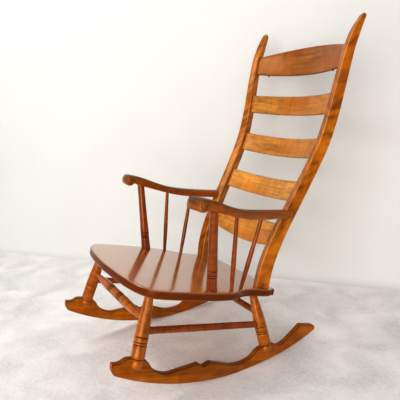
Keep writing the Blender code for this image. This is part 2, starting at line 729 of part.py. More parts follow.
def add_post_tenon(mesh, side, grow, top):
    """Add the block of a back post's tenon, grown by a clearance, up to the given height."""
    low = Vector((-POST_TENON_WIDTH / 2 - grow, -POST_TENON_DEPTH / 2 - grow))
    corners = ((low.x, low.y), (-low.x, low.y), (-low.x, -low.y), (low.x, -low.y))
    rings = []
    for z in (-POST_TENON_LENGTH - grow, top):
        ring = [post_point(0.0, *corner) for corner in corners]
        rings.append([(place.x, place.y + POST_TENON_SHIFT, z) for place in ring])
    add_loft(mesh, rings, mirrored(side))


# Pieces


def make_seat(chair):
    """Make the plank seat with a socket for everything that stands in it."""
    half = seat_half_outline()
    outline = half + [(-x, y) for x, y in reversed(half[1:-1])]
    upper = []
    lower = []
    for degrees in SEAT_ROUNDING_DEGREES:
        turn = math.radians(degrees)
        rise = SEAT_ROUNDING * (math.sin(turn) - 1.0)
        shrunk = grown_outline(outline, SEAT_ROUNDING * (math.cos(turn) - 1.0))
        upper.append([(*point, rise) for point in shrunk])
        lower.append([(*point, SEAT_UNDERSIDE_Z - rise) for point in shrunk])
    rings = lower[::-1] + upper
    mesh = bmesh.new()
    add_loft(mesh, rings, Matrix.Identity(4))
    seat = make_piece("seat", mesh, chair, "seat_maple")

    holes = bmesh.new()
    for _, side in SIDES:
        for end in ("front", "rear"):
            foot, top = leg_ends(end, side)
            profile = leg_profile((top - foot).length)
            add_socket(holes, foot, top, profile, LEG_SIDES, LEG_TENON_LENGTH + LEG_TENON_LEAD / 2)
        low, high = arm_post_ends(side)
        profile = reversed_profile(arm_post_profile((high - low).length))
        depth = ARM_POST_TENON_LENGTH + ARM_POST_HOUSING + ARM_POST_FOOT_LENGTH / 2
        add_socket(holes, high, low, profile, TURNED_SIDES, depth)
        for place in ("front", "rear"):
            low, high = spindle_ends(place, side)
            profile = reversed_profile(spindle_profile((high - low).length))
            add_socket(holes, high, low, profile, SPINDLE_SIDES, SPINDLE_SEAT_DEPTH + SPINDLE_LEAD / 2)
        add_post_tenon(holes, side, CLEARANCE, POST_TENON_LENGTH / 2)
    cut_with(seat, "sockets", holes, chair)


def make_rockers(chair):
    """Make the two rockers with the holes for their pins."""
    for label, side in SIDES:
        mesh = bmesh.new()
        add_rocker_slab(mesh, rocker_outline(), ROCKER_THICKNESS, side)
        rocker = make_piece("rocker_" + label, mesh, chair, "rocker_maple")
        round_edges(rocker, ROCKER_ROUNDING, 2)
        holes = bmesh.new()
        for end in ("front", "rear"):
            add_pin_hole(holes, end, side)
        cut_with(rocker, "pin_holes", holes, chair)


def make_legs(chair):
    """Make the four legs, slotted over the rockers and bored for the stretchers."""
    stretchers = stretcher_ends()
    for label, side in SIDES:
        for end in ("front", "rear"):
            foot, top = leg_ends(end, side)
            profile = leg_profile((top - foot).length)
            name = end + "_leg_" + label
            leg = make_turned_piece(name, foot, top, profile, LEG_SIDES, chair, "frame_maple")
            slot = bmesh.new()
            add_rocker_slab(slot, grown_outline(rocker_outline(), CLEARANCE),
                            ROCKER_THICKNESS + 2 * CLEARANCE, side)
            cut_with(leg, "slot", slot, chair)
            holes = bmesh.new()
            add_pin_hole(holes, end, side)
            cross = stretchers[end + "_stretcher"]
            cross = cross if side < 0 else (cross[1], cross[0])
            along = stretchers["side_stretcher_" + label]
            along = along if end == "rear" else (along[1], along[0])
            depth = LEG_RING_RADIUS + STRETCHER_TENON_LENGTH / 2
            for stretcher, (start, stop) in ((end + "_stretcher", cross), ("side_stretcher", along)):
                profile = stretcher_profile(stretcher, (stop - start).length)
                add_socket(holes, start, stop, profile, TURNED_SIDES, depth)
            cut_with(leg, "holes", holes, chair)


def make_stretchers(chair):
    """Make the turned front stretcher and the plain ones."""
    for name, (start, end) in stretcher_ends().items():
        profile = stretcher_profile(name, (end - start).length)
        make_turned_piece(name, start, end, profile, TURNED_SIDES, chair, "frame_maple")


def post_stations():
    """Return the heights of a back post's sections, each with the share of it that its tip leaves."""
    shoulder = POST_SHAPE[-1][0] - POST_TIP_HEIGHT
    count = math.ceil(shoulder / POST_STATION_STEP)
    stations = [(CLEARANCE + (shoulder - CLEARANCE) * index / count, 1.0) for index in range(count + 1)]
    for degrees in POST_TIP_DEGREES:
        turn = math.radians(degrees)
        stations.append((shoulder + POST_TIP_HEIGHT * math.sin(turn), math.cos(turn)))
    return stations


def add_post_body(mesh, side, grow):
    """Add the bent body of a back post, grown by a clearance."""
    rings = []
    for z, share in post_stations():
        _, depth, width, _ = post_section(z)
        high = (share * width / 2 + grow, share * depth / 2 + grow)
        section = rounded_rectangle((-high[0], -high[1]), high, POST_ROUNDING)
        rings.append([post_point(z, *place) for place in section])
    add_loft(mesh, rings, mirrored(side))


def make_back_posts(chair):
    """Make the two bent posts with a tenon below and a mortise for every slat."""
    for label, side in SIDES:
        mesh = bmesh.new()
        add_post_body(mesh, side, 0.0)
        post = make_piece("back_post_" + label, mesh, chair, "frame_maple")
        tenon = bmesh.new()
        add_post_tenon(tenon, side, 0.0, POST_TENON_LENGTH / 2)
        join_with(post, "tenon", tenon, chair)
        mortises = bmesh.new()
        for index in range(len(SLAT_NAMES)):
            add_slat_end(mortises, index, side)
        add_screw_hole(mortises, side)
        cut_with(post, "mortises", mortises, chair)


def slat_edges(index, across):
    """Return a slat's lower and upper edge at a place across it, from -1 to 1."""
    low = BOTTOM_SLAT_Z + index * (SLAT_HEIGHT + SLAT_GAP)
    high = low + SLAT_HEIGHT
    bulge = 1.0 - min(1.0, abs(across)) ** 2
    if SLAT_NAMES[index] == "bottom_slat":
        low -= BOTTOM_SLAT_BELLY * bulge
    if SLAT_NAMES[index] == "crest_slat":
        high += CREST_RISE * bulge
    return low, high


def slat_bow(index, across):
    """Return how far a slat bows back and up at a place across it, square to the posts' line there."""
    low, high = slat_edges(index, 1.0)
    lean = math.atan2(post_section(high)[0] - post_section(low)[0], high - low)
    bow = SLAT_BOWS[index] * (1.0 - across ** 2)
    return bow * math.cos(lean), -bow * math.sin(lean)


def slat_ring(index, across, beyond, grow):
    """Return a slat's section at a place across it, or beyond the posts' inner faces."""
    low, high = slat_edges(index, across)
    back_bow, up_bow = slat_bow(index, across)
    half = SLAT_THICKNESS / 2 + grow
    run = beyond * math.copysign(1.0, across)
    front = []
    back = []
    for row in range(SLAT_ROWS + 1):
        z = low - grow + (high - low + 2 * grow) * row / SLAT_ROWS
        inner = post_inner_point(z)
        turn = math.atan2(2 * SLAT_BOWS[index] * across, inner.x)
        along = Vector((math.cos(turn), -math.sin(turn), 0.0))
        through = Vector((math.sin(turn), math.cos(turn), 0.0)) * half
        middle = Vector((across * inner.x, inner.y + back_bow, z + up_bow)) + along * run
        front.append(middle - through)
        back.append(middle + through)
    return front + back[::-1]


def add_slat_end(mesh, index, side):
    """Add the mortise for one end of a slat."""
    reach = (-SLAT_TENON_LENGTH, SLAT_TENON_LENGTH + CLEARANCE)
    add_loft(mesh, [slat_ring(index, side, beyond, CLEARANCE) for beyond in reach], Matrix.Identity(4))


def make_slats(chair):
    """Make the five bowed slats, the crest bored for its hooks."""
    for index, name in enumerate(SLAT_NAMES):
        places = [2 * step / SLAT_SPANS - 1 for step in range(SLAT_SPANS + 1)]
        rings = [slat_ring(index, -1, SLAT_TENON_LENGTH, 0.0)]
        rings += [slat_ring(index, place, 0.0, 0.0) for place in places]
        rings.append(slat_ring(index, 1, SLAT_TENON_LENGTH, 0.0))
        mesh = bmesh.new()
        add_loft(mesh, rings, Matrix.Identity(4))
        slat = make_piece(name, mesh, chair, "slat_maple")
        if name == "crest_slat":
            holes = bmesh.new()
            for _, side in SIDES:
                top = hook_root(side)
                profile = [(-HOOK_DROP, HOOK_WIRE_RADIUS + CLEARANCE),
                           (HOOK_SHANK + CLEARANCE, HOOK_WIRE_RADIUS + CLEARANCE)]
                add_turning(holes, profile, SMALL_SIDES, Matrix.Translation(top))
            cut_with(slat, "hook_holes", holes, chair)


def hook_root(side):
    """Return where a hook's shank enters the crest slat's lower edge."""
    index = SLAT_NAMES.index("crest_slat")
    z = slat_edges(index, 0.0)[0]
    inner = post_inner_point(z)
    back_bow, up_bow = slat_bow(index, HOOK_X / inner.x)
    return Vector((side * HOOK_X, inner.y + back_bow, z + up_bow))


def make_hooks(chair):
    """Make the two wire hooks that screw into the crest slat."""
    for label, side in SIDES:
        points = [Vector((0.0, 0.0, HOOK_SHANK)), Vector((0.0, 0.0, -HOOK_DROP))]
        for step in range(1, HOOK_BEND_STEPS + 1):
            turn = math.radians(HOOK_BEND_DEGREES * step / HOOK_BEND_STEPS)
            forward = HOOK_BEND_RADIUS * (1 - math.cos(turn))
            points.append(Vector((0.0, -forward, -HOOK_DROP - HOOK_BEND_RADIUS * math.sin(turn))))
        name = "crest_hook_" + label
        curve = bpy.data.curves.new(name, "CURVE")
        curve.dimensions = "3D"
        curve.bevel_depth = HOOK_WIRE_RADIUS
        curve.bevel_resolution = 2
        curve.use_fill_caps = True
        spline = curve.splines.new("POLY")
        spline.points.add(len(points) - 1)
        for place, point in zip(spline.points, points):
            place.co = (*point, 1.0)
        curve.materials.append(bpy.data.materials["dark_steel"])
        hook = bpy.data.objects.new(name, curve)
        bpy.context.scene.collection.objects.link(hook)
        hook.parent = chair
        hook.location = hook_root(side)


def arm_rings():
    """Return the sections of the left arm from its rear end to its scroll, which turns outwards."""
    rear = ARM_SHAPE[0][0]
    neck = ARM_SHAPE[-1][0]
    count = math.ceil((rear - neck) / ARM_STATION_STEP)
    sections = []
    for index in range(count + 1):
        y = rear + (neck - rear) * index / count
        sections.append((y, *arm_section(y)))
    _, top, inner, outer = sections[-1][1:]
    centre_z = top - ARM_SCROLL_RADIUS
    sweep = ARM_SCROLL_END_DEGREES - ARM_SCROLL_START_DEGREES
    for step in range(ARM_SCROLL_STEPS + 1):
        degrees = ARM_SCROLL_START_DEGREES + sweep * step / ARM_SCROLL_STEPS
        turn = math.radians(degrees)
        y = ARM_SCROLL_CENTRE_Y - ARM_SCROLL_RADIUS * math.sin(turn)
        half = ARM_SCROLL_RADIUS * math.cos(turn)
        upper = top if turn < 0 else centre_z + half
        tuck = ARM_SCROLL_CORNER * max(0.0, math.sin(turn)) ** ARM_SCROLL_CORNER_POWER
        sections.append((y, centre_z - half, upper, inner + tuck, outer - tuck))
    rings = []
    for y, low, high, inner, outer in sections:
        turned = min(1.0, max(0.0, (ARM_TURN_START_Y - y) / (ARM_TURN_START_Y - neck)))
        slope = turned * math.tan(math.radians(ARM_TURN_DEGREES))
        pivot = inner + ARM_TURN_PIVOT * (outer - inner)
        section = rounded_rectangle((inner, low), (outer, high), ARM_ROUNDING)
        rings.append([(x, y + slope * (x - pivot), z) for x, z in section])
    return rings


def make_arms(chair):
    """Make the two arms, notched round the posts and bored for what carries them."""
    for label, side in SIDES:
        mesh = bmesh.new()
        add_loft(mesh, arm_rings(), mirrored(side))
        arm = make_piece("arm_" + label, mesh, chair, "frame_maple")
        notch = bmesh.new()
        add_post_body(notch, side, CLEARANCE)
        cut_with(arm, "notch", notch, chair)
        holes = bmesh.new()
        low, high = arm_post_ends(side)
        add_socket(holes, low, high, arm_post_profile((high - low).length), TURNED_SIDES,
                   ARM_POST_TENON_LENGTH + ARM_POST_LEAD / 2)
        for place in ("front", "rear"):
            low, high = spindle_ends(place, side)
            add_socket(holes, low, high, spindle_profile((high - low).length), SPINDLE_SIDES,
                       SPINDLE_ARM_DEPTH + SPINDLE_LEAD / 2)
        add_screw_hole(holes, side)
        cut_with(arm, "holes", holes, chair)


def make_arm_uprights(chair):
    """Make the arm posts and the spindles."""
    for label, side in SIDES:
        low, high = arm_post_ends(side)
        profile = arm_post_profile((high - low).length)
        make_turned_piece("arm_post_" + label, low, high, profile, TURNED_SIDES, chair, "frame_maple")
        for place in ("front", "rear"):
            low, high = spindle_ends(place, side)
            profile = spindle_profile((high - low).length)
            name = place + "_spindle_" + label
            make_turned_piece(name, low, high, profile, SPINDLE_SIDES, chair, "frame_maple")


def make_fasteners(chair):
    """Make the arm screws and the rocker pins."""
    for label, side in SIDES:
        start, end = screw_ends(side)
        profile = screw_profile((end - start).length, 0.0, 0.0)
        make_turned_piece("arm_screw_" + label, start, end, profile, SMALL_SIDES, chair, "dark_steel")
        for place in ("front", "rear"):
            start, end = pin_ends(place, side)
            profile = [(0.0, PIN_RADIUS), (PIN_LENGTH, PIN_RADIUS)]
            name = "rocker_pin_" + place + "_" + label
            make_turned_piece(name, start, end, profile, SMALL_SIDES, chair, "dowel_maple")


def stand_on_floor(chair):
    """Recline the chair on its rockers and put the middle of its box over the origin."""
    chair.rotation_euler = (-math.radians(RECLINE_DEGREES), 0.0, 0.0)
    bpy.context.view_layer.update()
    graph = bpy.context.evaluated_depsgraph_get()
    places = []
    for piece in chair.children:
        if piece.hide_render:
            continue
        shape = piece.evaluated_get(graph)
        data = shape.to_mesh()
        places += [piece.matrix_world @ vertex.co for vertex in data.vertices]
        shape.to_mesh_clear()
    low = [min(place[axis] for place in places) for axis in range(3)]
    high = [max(place[axis] for place in places) for axis in range(3)]
    chair.location = (-(low[0] + high[0]) / 2, -(low[1] + high[1]) / 2, -low[2])
    bpy.context.view_layer.update()


def main():
    """Build the chair in an empty scene."""
    for piece in list(bpy.data.objects):
        bpy.data.objects.remove(piece, do_unlink=True)
    chair = bpy.data.objects.new("chair", None)
    bpy.context.scene.collection.objects.link(chair)
    make_finishes()
    make_seat(chair)
    make_rockers(chair)
    make_legs(chair)
    make_stretchers(chair)
    make_back_posts(chair)
    make_slats(chair)
    make_arms(chair)
    make_arm_uprights(chair)
    make_hooks(chair)
    make_fasteners(chair)
    stand_on_floor(chair)


main()
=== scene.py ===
"""Ladder-back rocking chair: the finished look of its turned, sawn and bent wooden pieces.

The pieces are modelled in the chair's own frame: the seat's top is the plane z = 0, y = 0 lies midway
between the arm posts, the sitter faces -Y and the sitter's left is +X. One matrix then reclines every
piece onto the rest of the fixed frame. All lengths are in metres.
"""
import json
import math

import bmesh
import bpy
from bpy.props import FloatProperty, FloatVectorProperty, PointerProperty
from mathutils import Matrix, Vector


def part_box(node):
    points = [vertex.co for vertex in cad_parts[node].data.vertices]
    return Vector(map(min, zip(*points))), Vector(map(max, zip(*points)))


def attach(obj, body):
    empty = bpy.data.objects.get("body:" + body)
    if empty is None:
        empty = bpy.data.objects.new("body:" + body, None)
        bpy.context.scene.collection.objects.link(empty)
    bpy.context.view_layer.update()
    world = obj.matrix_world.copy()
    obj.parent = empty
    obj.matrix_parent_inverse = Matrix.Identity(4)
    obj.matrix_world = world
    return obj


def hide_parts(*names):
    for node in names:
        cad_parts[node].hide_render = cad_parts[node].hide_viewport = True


bl_info = {
    "name": "Ladder-back Rocking Chair",
    "version": (1, 0, 0),
    "blender": (4, 5, 0),
    "location": "View3D > Sidebar > Chair",
    "description": "Builds a stained maple rocking chair over its fixed frame, piece by piece",
    "category": "Add Mesh",
}

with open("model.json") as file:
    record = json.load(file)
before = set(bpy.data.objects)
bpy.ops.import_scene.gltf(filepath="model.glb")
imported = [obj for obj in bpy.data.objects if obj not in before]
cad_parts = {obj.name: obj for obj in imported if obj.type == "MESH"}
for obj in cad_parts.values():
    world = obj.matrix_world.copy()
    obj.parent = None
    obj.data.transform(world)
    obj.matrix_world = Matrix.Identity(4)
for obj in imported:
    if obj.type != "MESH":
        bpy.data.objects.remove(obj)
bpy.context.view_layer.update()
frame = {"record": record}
SEAT_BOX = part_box("seat")
ROCKER_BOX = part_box("rocker_left")
REST_PLACE = Vector(frame["record"]["mounts"][0]["pos_m"])

SIDES = (("left", 1.0), ("right", -1.0))
ENDS = ("front", "rear")

# Seat: its left half from the front middle to the rear middle, as x and y
SEAT_KNOTS = (
    (0.0, -0.252), (0.1045, -0.246), (0.190, -0.232), (0.241, -0.206), (0.258, -0.170), (0.265, -0.050),
    (0.258, 0.050), (0.244, 0.096), (0.222, 0.133), (0.213, 0.175), (0.213, 0.233), (0.2028, 0.2636),
    (0.179, 0.2806), (0.0, 0.284),
)
SEAT_CURVE_STEPS = 10
SEAT_EDGE_STEPS = 6
# Painted shade on the seat's rounded edges
SEAT_EDGE_SHADE = 0.4
SEAT_TOP_SHARES = (0.93, 0.75, 0.5, 0.22)
# Painted shade on the seat's side face, in the rim's colour
SEAT_RIM_SHADE = 1.0

# Rockers: the ends and the top edge as y and the height above the bottom arc
ROCKER_RADIUS = 0.752
ROCKER_CENTRE_Y = -0.014
ROCKER_CENTRE_Z = 0.471
ROCKER_ARC = (-0.258, 0.250)
ROCKER_REST_LENGTH = 0.060
# How much darker the rockers' upward-facing outline is made
ROCKER_TOP_DARKENING = 0.4
ROCKER_EDGE_STEPS = 4
ROCKER_CURVE_STEPS = 8
ROCKER_TAIL_STEPS = 4
ROCKER_NOSE_ROUNDS = 2
ROCKER_NOSE = ((-0.2665, 0.006), (-0.2700, 0.016))
ROCKER_FRONT_TOP = (
    (-0.270, 0.029), (-0.257, 0.033), (-0.246, 0.0395), (-0.237, 0.049), (-0.224, 0.0565),
    (-0.197, 0.062), (-0.168, 0.060), (-0.140, 0.037), (-0.100, 0.030), (-0.052, 0.043), (0.004, 0.0578),
)
ROCKER_NOTCH = (0.024, 0.0465)
ROCKER_REAR_TOP = (
    (0.0465, 0.0572), (0.088, 0.046), (0.127, 0.033), (0.163, 0.028), (0.199, 0.0325), (0.222, 0.051),
    (0.250, 0.0565), (0.280, 0.050), (0.306, 0.031), (0.330, 0.029), (0.360, 0.041), (0.3895, 0.0545),
)
ROCKER_TAIL_SOLE = ((0.318, -0.0035), (0.358, -0.0062), (0.397, -0.0088), (0.430, -0.0112))
ROCKER_TAIL_END = (
    (0.448, -0.0116), (0.456, -0.0115), (0.4585, -0.0085), (0.4575, -0.0022), (0.453, 0.0059),
    (0.4465, 0.0132),
)

# Legs: x and y at the seat, y at the foot, and heights up from the foot
LEG_PLACES = {"front": (0.2025, -0.181, -0.196), "rear": (0.182, 0.203, 0.262)}
LEG_FOOT_OVERLAP = 0.032
LEG_PIN_HEIGHT = 0.016
LEG_SINK = 0.004
LEG_BALL_HEIGHT = 0.034
LEG_BALL_FULLNESS = 0.6
LEG_BALL_END_DEGREES = 42
LEG_BALL_SPAN_DEGREES = 128
LEG_BALL_STEP_DEGREES = 8
LEG_COLLAR_LENGTH = 0.003
LEG_GROOVES = (0.067, 0.074, 0.089)
LEG_RINGS_END = 0.0915
LEG_SWELL_HEIGHT = 0.123
LEG_TOP_RADIUS = 0.013
LEG_TOP_LEAD = 0.018
LEG_TAPER_SHARE = 0.45

# Stretchers: heights on the legs, and distances from the middle of the front one
STRETCHER_HEIGHTS = {"front": -0.098, "rear": -0.081}
SIDE_STRETCHER_HEIGHTS = (-0.126, -0.1165)
STRETCHER_SETBACK = 0.010
STRETCHER_END_RADIUS = 0.0065
PLAIN_STRETCHER_LEADS = (0.004, 0.030)
FRONT_STRETCHER_LEAD = 0.010
FRONT_STRETCHER_TAPER = (0.1275, 0.0120)
FRONT_STRETCHER_RUN = (0.082, 0.0138)
FRONT_STRETCHER_SWELL = (0.062, 0.0145)
FRONT_STRETCHER_LAND = (0.050, 0.0138)
FRONT_STRETCHER_GROOVES = (0.028, 0.044)
FRONT_STRETCHER_GROOVE_HALF_WIDTH = 0.0035
FRONT_STRETCHER_GROOVE_DEPTH = 0.0028
# Band round the front stretcher's rings, darkened all round as the painted shadow and dark reflection of
# the seat
FRONT_STRETCHER_SHADE_BAND = (0.022, 0.050)
FRONT_STRETCHER_PAINTED_SHADE = 0.6

# Back posts, turned inwards to meet the slats: height, middle along y, depth, width, inset of the middle
POST_FOOT_X = 0.1832
POST_SPLAY = 0.0691
POST_TURN = math.radians(18.0)
POST_SINK = 0.004
POST_TIP_HEIGHT = 0.013
POST_STEP = 0.009
POST_CURVE_STEPS = 8
POST_CORNER_STEPS = 4
POST_CORNER_LIMIT = 0.96
POST_TIP_STEPS = 10
# How much the posts' rounded corners take the paler colour: wear and a painted highlight
POST_WEAR_AND_HIGHLIGHT = 0.7
POST_FIGURE_LEAN = 38.0
POST_SHAPE = (
    (0.000, 0.2300, 0.045, 0.030, 0.0), (0.060, 0.2265, 0.044, 0.030, 0.0),
    (0.120, 0.2315, 0.043, 0.030, 0.0), (0.200, 0.2475, 0.042, 0.030, 0.0),
    (0.300, 0.2760, 0.040, 0.030, 0.0), (0.400, 0.3040, 0.039, 0.030, 0.0),
    (0.500, 0.3265, 0.038, 0.030, 0.0), (0.600, 0.3330, 0.037, 0.028, 0.0),
    (0.700, 0.3313, 0.036, 0.026, 0.001), (0.800, 0.3315, 0.0315, 0.025, 0.0025),
    (0.850, 0.3375, 0.0285, 0.0252, 0.0045), (0.880, 0.3432, 0.0245, 0.024, 0.0045),
    (0.905, 0.3497, 0.0195, 0.021, 0.0038), (0.927, 0.3560, 0.0150, 0.017, 0.003),
)

# Slats, from the bottom one up to the crest, with how far each bows back
SLAT_BOWS = {
    "bottom_slat": 0.026, "lower_slat": 0.030, "middle_slat": 0.0345, "upper_slat": 0.045,
    "crest_slat": 0.048,
}
SLAT_NAMES = tuple(SLAT_BOWS)
# Each slat's share and warmth of the stain: partly its own tone, partly painted light that makes the slats
# brighter towards the bottom
SLAT_TONES_AND_PAINTED_LIGHT = {
    "bottom_slat": (1.28, 0.93), "lower_slat": (1.24, 0.92), "middle_slat": (1.05, 0.93),
    "upper_slat": (0.98, 0.97), "crest_slat": (0.47, 1.26),
}
SLAT_GAP = 0.0827
BOTTOM_SLAT_Z = 0.1425
BOTTOM_SLAT_BELLY = 0.018
CREST_RISE = 0.036
SLAT_TENON = 0.010
SLAT_SPANS = 48
SLAT_ROWS = 9
SLAT_EDGE_STEPS = 5

# Arms: stations from the rear end forward, as y, underside, top, inner x, outer x
ARM_SHAPE = (
    (0.261, 0.2430, 0.2675, 0.190, 0.229), (0.200, 0.2342, 0.2600, 0.192, 0.234),
    (0.139, 0.2268, 0.2528, 0.197, 0.244), (0.090, 0.2232, 0.2485, 0.203, 0.252),
    (0.040, 0.2240, 0.2475, 0.208, 0.262), (-0.010, 0.2280, 0.2525, 0.213, 0.274),
    (-0.060, 0.2330, 0.2610, 0.216, 0.284), (-0.095, 0.2370, 0.2645, 0.2165, 0.286),
)
ARM_STEP = 0.008
ARM_CURVE_STEPS = 6
ARM_EDGE_STEPS = 5
ARM_TOP_SHARES = (0.25, 0.5)
# How much lighter the arms' rounded edges are: wear and a painted highlight
ARM_WEAR_AND_HIGHLIGHT = 0.5
ARM_TURN = math.radians(7.0)
ARM_TURN_START_Y = -0.020
ARM_TURN_PIVOT = 0.25
ARM_CROWN = 0.0012
ARM_UNDERSIDE_SHARE = 0.7
ARM_PATINA = 0.88
ARM_PATINA_END = 0.21
ARM_PATINA_FADE = 0.13
SCROLL_CENTRE_Y = -0.119
SCROLL_START_DEGREES = -72
SCROLL_END_DEGREES = 84
SCROLL_STEP_DEGREES = 6
SCROLL_CORNER = 0.018
SCROLL_CORNER_POWER = 3
VOLUTE_LINE = (
    (255, 1.00), (295, 0.80), (340, 0.68), (450, 0.58), (560, 0.48), (650, 0.36), (720, 0.24),
)
VOLUTE_CURVE_STEPS = 8
VOLUTE_SIDES = 8

# Arm posts and spindles: base x and y on the seat, top x and y under the arm
ARM_POST_PLACES = ((0.235, 0.0), (0.255, -0.061))
ARM_POST_TOP_RADIUS = 0.0122
ARM_POST_LEAD = 0.010
ARM_POST_FOOT = 0.012
ARM_POST_GROOVES = (0.044, 0.051, 0.0645)
ARM_POST_BODY_LEADS = (0.008, 0.004)
SPINDLE_PLACES = {
    "front": ((0.2288, 0.077), (0.229, 0.040)),
    "rear": ((0.2006, 0.134), (0.221, 0.139)),
}
SPINDLE_END_RADIUS = 0.0058
SPINDLE_LEAD = 0.010
SPINDLE_SWELL_PLACES = (0.36, 0.65)
UPRIGHT_SINK = 0.004

# Hooks, screws and pins
HOOK_X = 0.167
HOOK_SHANK = 0.008
HOOK_DROP = 0.0015
HOOK_BEND_RADIUS = 0.0034
HOOK_BEND_DEGREES = 200
HOOK_BEND_STEPS = 24
SCREW_RADIUS = 0.002
SCREW_HEAD_RADIUS = 0.0042
SCREW_HEAD_LENGTH = 0.004
SCREW_HEAD_SINK = 0.002
SCREW_GRIP = 0.014
SCREW_SHIFT = 0.006
SCREW_SLOT_WIDTH = 0.0009
SCREW_SLOT_DEPTH = 0.0011
SCREW_HOLE_CLEARANCE = 0.0004
SCREW_HOLE_LEAD = 0.006
SCREW_SHARP_DEGREES = 30
PIN_RADIUS = 0.003
PIN_LENGTH = 0.032
PIN_CHAMFER = 0.0008

# Floor, backdrop, camera, and lights as place, aim and size
FLOOR_SEGMENTS = 96
FLOOR_GAP = 0.0005
WALL_HEIGHT = 3.2
WALL_REACH = 6.0
WALL_COVE_STEPS = 6
SENSOR_WIDTH = 36.0
WINDOW_LIGHT = ((2.1, -2.4, 1.1), (0.0, 0.0, 0.5), (2.6, 2.0))
UPPER_LIGHT = ((-0.75, -1.55, 2.4), (0.0, 0.0, 0.45), (0.9, 0.8))

# Fineness of the round pieces and their grooves, and how far a corner of an outline may run out
LEG_SIDES = 56
TURNED_SIDES = 44
SPINDLE_SIDES = 32
SMALL_SIDES = 20
TURNED_STEP = 0.004
PLAIN_STEP = 0.008
PROFILE_CURVE_STEPS = 10
GROOVE_REACH = 1.1
GROOVE_STOPS = 5
GROOVE_POWER = 1.5
SHARP_DEGREES = 50
CORNER_LIMIT = 0.5

# Which two axes lie across the grain and which one along it, for a piece cut along x, y or z
GRAIN_ORDER = {"x": (1, 2, 0), "y": (0, 2, 1), "z": (0, 1, 2)}
GRAIN_SHIFT = Vector((0.37, 0.23, 0.61))
GRAIN_SEEDS = {"seat": 3.0, "rocker": 5.0, "post": 8.0, "slat": 11.0, "arm": 20.0, "tube": 2.0, "cut": 1.0}
TURNED_GRAIN_PLACES = 17

# Patterns: width and length of the patches in metres, detail and distortion
NOISE_ROUGHNESS = 0.55
CLOUD = (0.080, 0.26, 2.0, 0.3)
STREAK = (0.013, 0.33, 4.0, 0.5)
FIBRE = (0.0011, 0.055, 3.0)
WARMTH = (0.11, 0.38, 1.0)
DOWEL_RINGS = (0.0024, 0.050, 3.0, 1.5)
DOWEL_PORES = (0.0004, 0.025, 2.0)
STEEL_GRAIN = (0.0003, 0.003, 3.0)
STEEL_PATCHES = (0.0025, 0.0025, 2.0)
FLOOR_PILE = (0.012, 0.012, 4.0)
FLOOR_PATCHES = (0.16, 0.16, 4.0, 0.6)
WALL_PATCHES = (0.7, 0.7, 2.0)

# Spreads: the part of a pattern's range that is read, and the range that it is turned into
RED_SPREAD = (0.44, 0.60, 0.0, 0.7)
CURL_SPREAD = (0.32, 0.68, 0.0, 1.0)
PORE_SPREAD = (0.60, 0.72, 0.0)
EDGE_SPREAD = (0.35, 0.60, 0.30, 1.0)
SHEEN_SPREAD = (0.35, 0.65)
DOWEL_PORE_SPREAD = (0.55, 0.70, 0.0, 0.6)
DOWEL_ROUGHNESS = (0.3, 0.7, 0.40, 0.60)
STEEL_ROUGHNESS = (0.3, 0.7, 0.28, 0.52)
FLOOR_PILE_SPREAD = (0.3, 0.7, 0.3, 0.8)

# Stops: the place in a pattern's range and the share of the colour there
DOWEL_STOPS = ((0.35, 0.6), (0.62, 1.2))
STEEL_STOPS = ((0.35, 0.6), (0.65, 2.4))
FLOOR_STOPS = ((0.3, 0.78), (0.7, 1.04))
WALL_STOPS = ((0.3, 0.97), (0.7, 1.02))

# Reliefs: strength and height in metres
STEEL_RELIEF = (0.2, 0.0001)
FLOOR_RELIEF = (0.3, 0.004)
WOOD_RELIEF_HEIGHT = 0.0003

# Maple: the curl's detail and distortion, the fibres' share of the tone, the tone's stops as place, change
# and warmth, what the redder stain keeps of each colour, how the curl, the pores, edges with wear and
# painted light, and grime with painted shade change it, and shares of the frame's gloss
CURL_DETAIL = (0.6, 0.8)
FIBRE_SHARE = 0.18
STAIN_STOPS = ((0.41, -0.54, 1.12), (0.475, -0.16, 1.0), (0.53, 0.0, 1.0), (0.60, 0.32, 0.97))
RED_STAIN = (0.94, 0.70, 0.50)
CURL_DIM_POWERS = (1.0, 1.25, 1.4)
CURL_BRIGHT_SHARE = 0.8
PORE_TONE = 0.42
EDGE_ROUGHNESS = 0.10
GRIME_AND_SHADE_SHARE = 0.90
GRIME_AND_SHADE_TONE = 0.10
GRIME_AND_SHADE_SPECULAR = 0.1
TURNED_GLOSS = 2.5
SLAT_GLOSS = 0.7
ROCKER_GLOSS = 0.5

# Dowels, floor and wall
DOWEL_PORE_TONE = 0.35
FLOOR_ROUGHNESS = 0.95
FLOOR_PILE_SHARE = 0.65
WALL_ROUGHNESS = 0.9
STAGE_SPECULAR = 0.1


# Settings


def length_setting(name, description, default):
    """Return a length that the user can change."""
    return FloatProperty(name=name, description=description, default=default, min=0.0, precision=4,
                         subtype="DISTANCE", unit="LENGTH")


def colour_setting(name, description, default):
    """Return a colour that the user can change."""
    return FloatVectorProperty(name=name, description=description, default=default, size=3, min=0.0,
                               max=1.0, subtype="COLOR")


def share_setting(name, description, default):
    """Return a share from nought to one that the user can change."""
    return FloatProperty(name=name, description=description, default=default, min=0.0, max=1.0,
                         subtype="FACTOR")


def power_setting(name, description, default):
    """Return a light's power that the user can change."""
    return FloatProperty(name=name, description=description, default=default, min=0.0, unit="POWER")


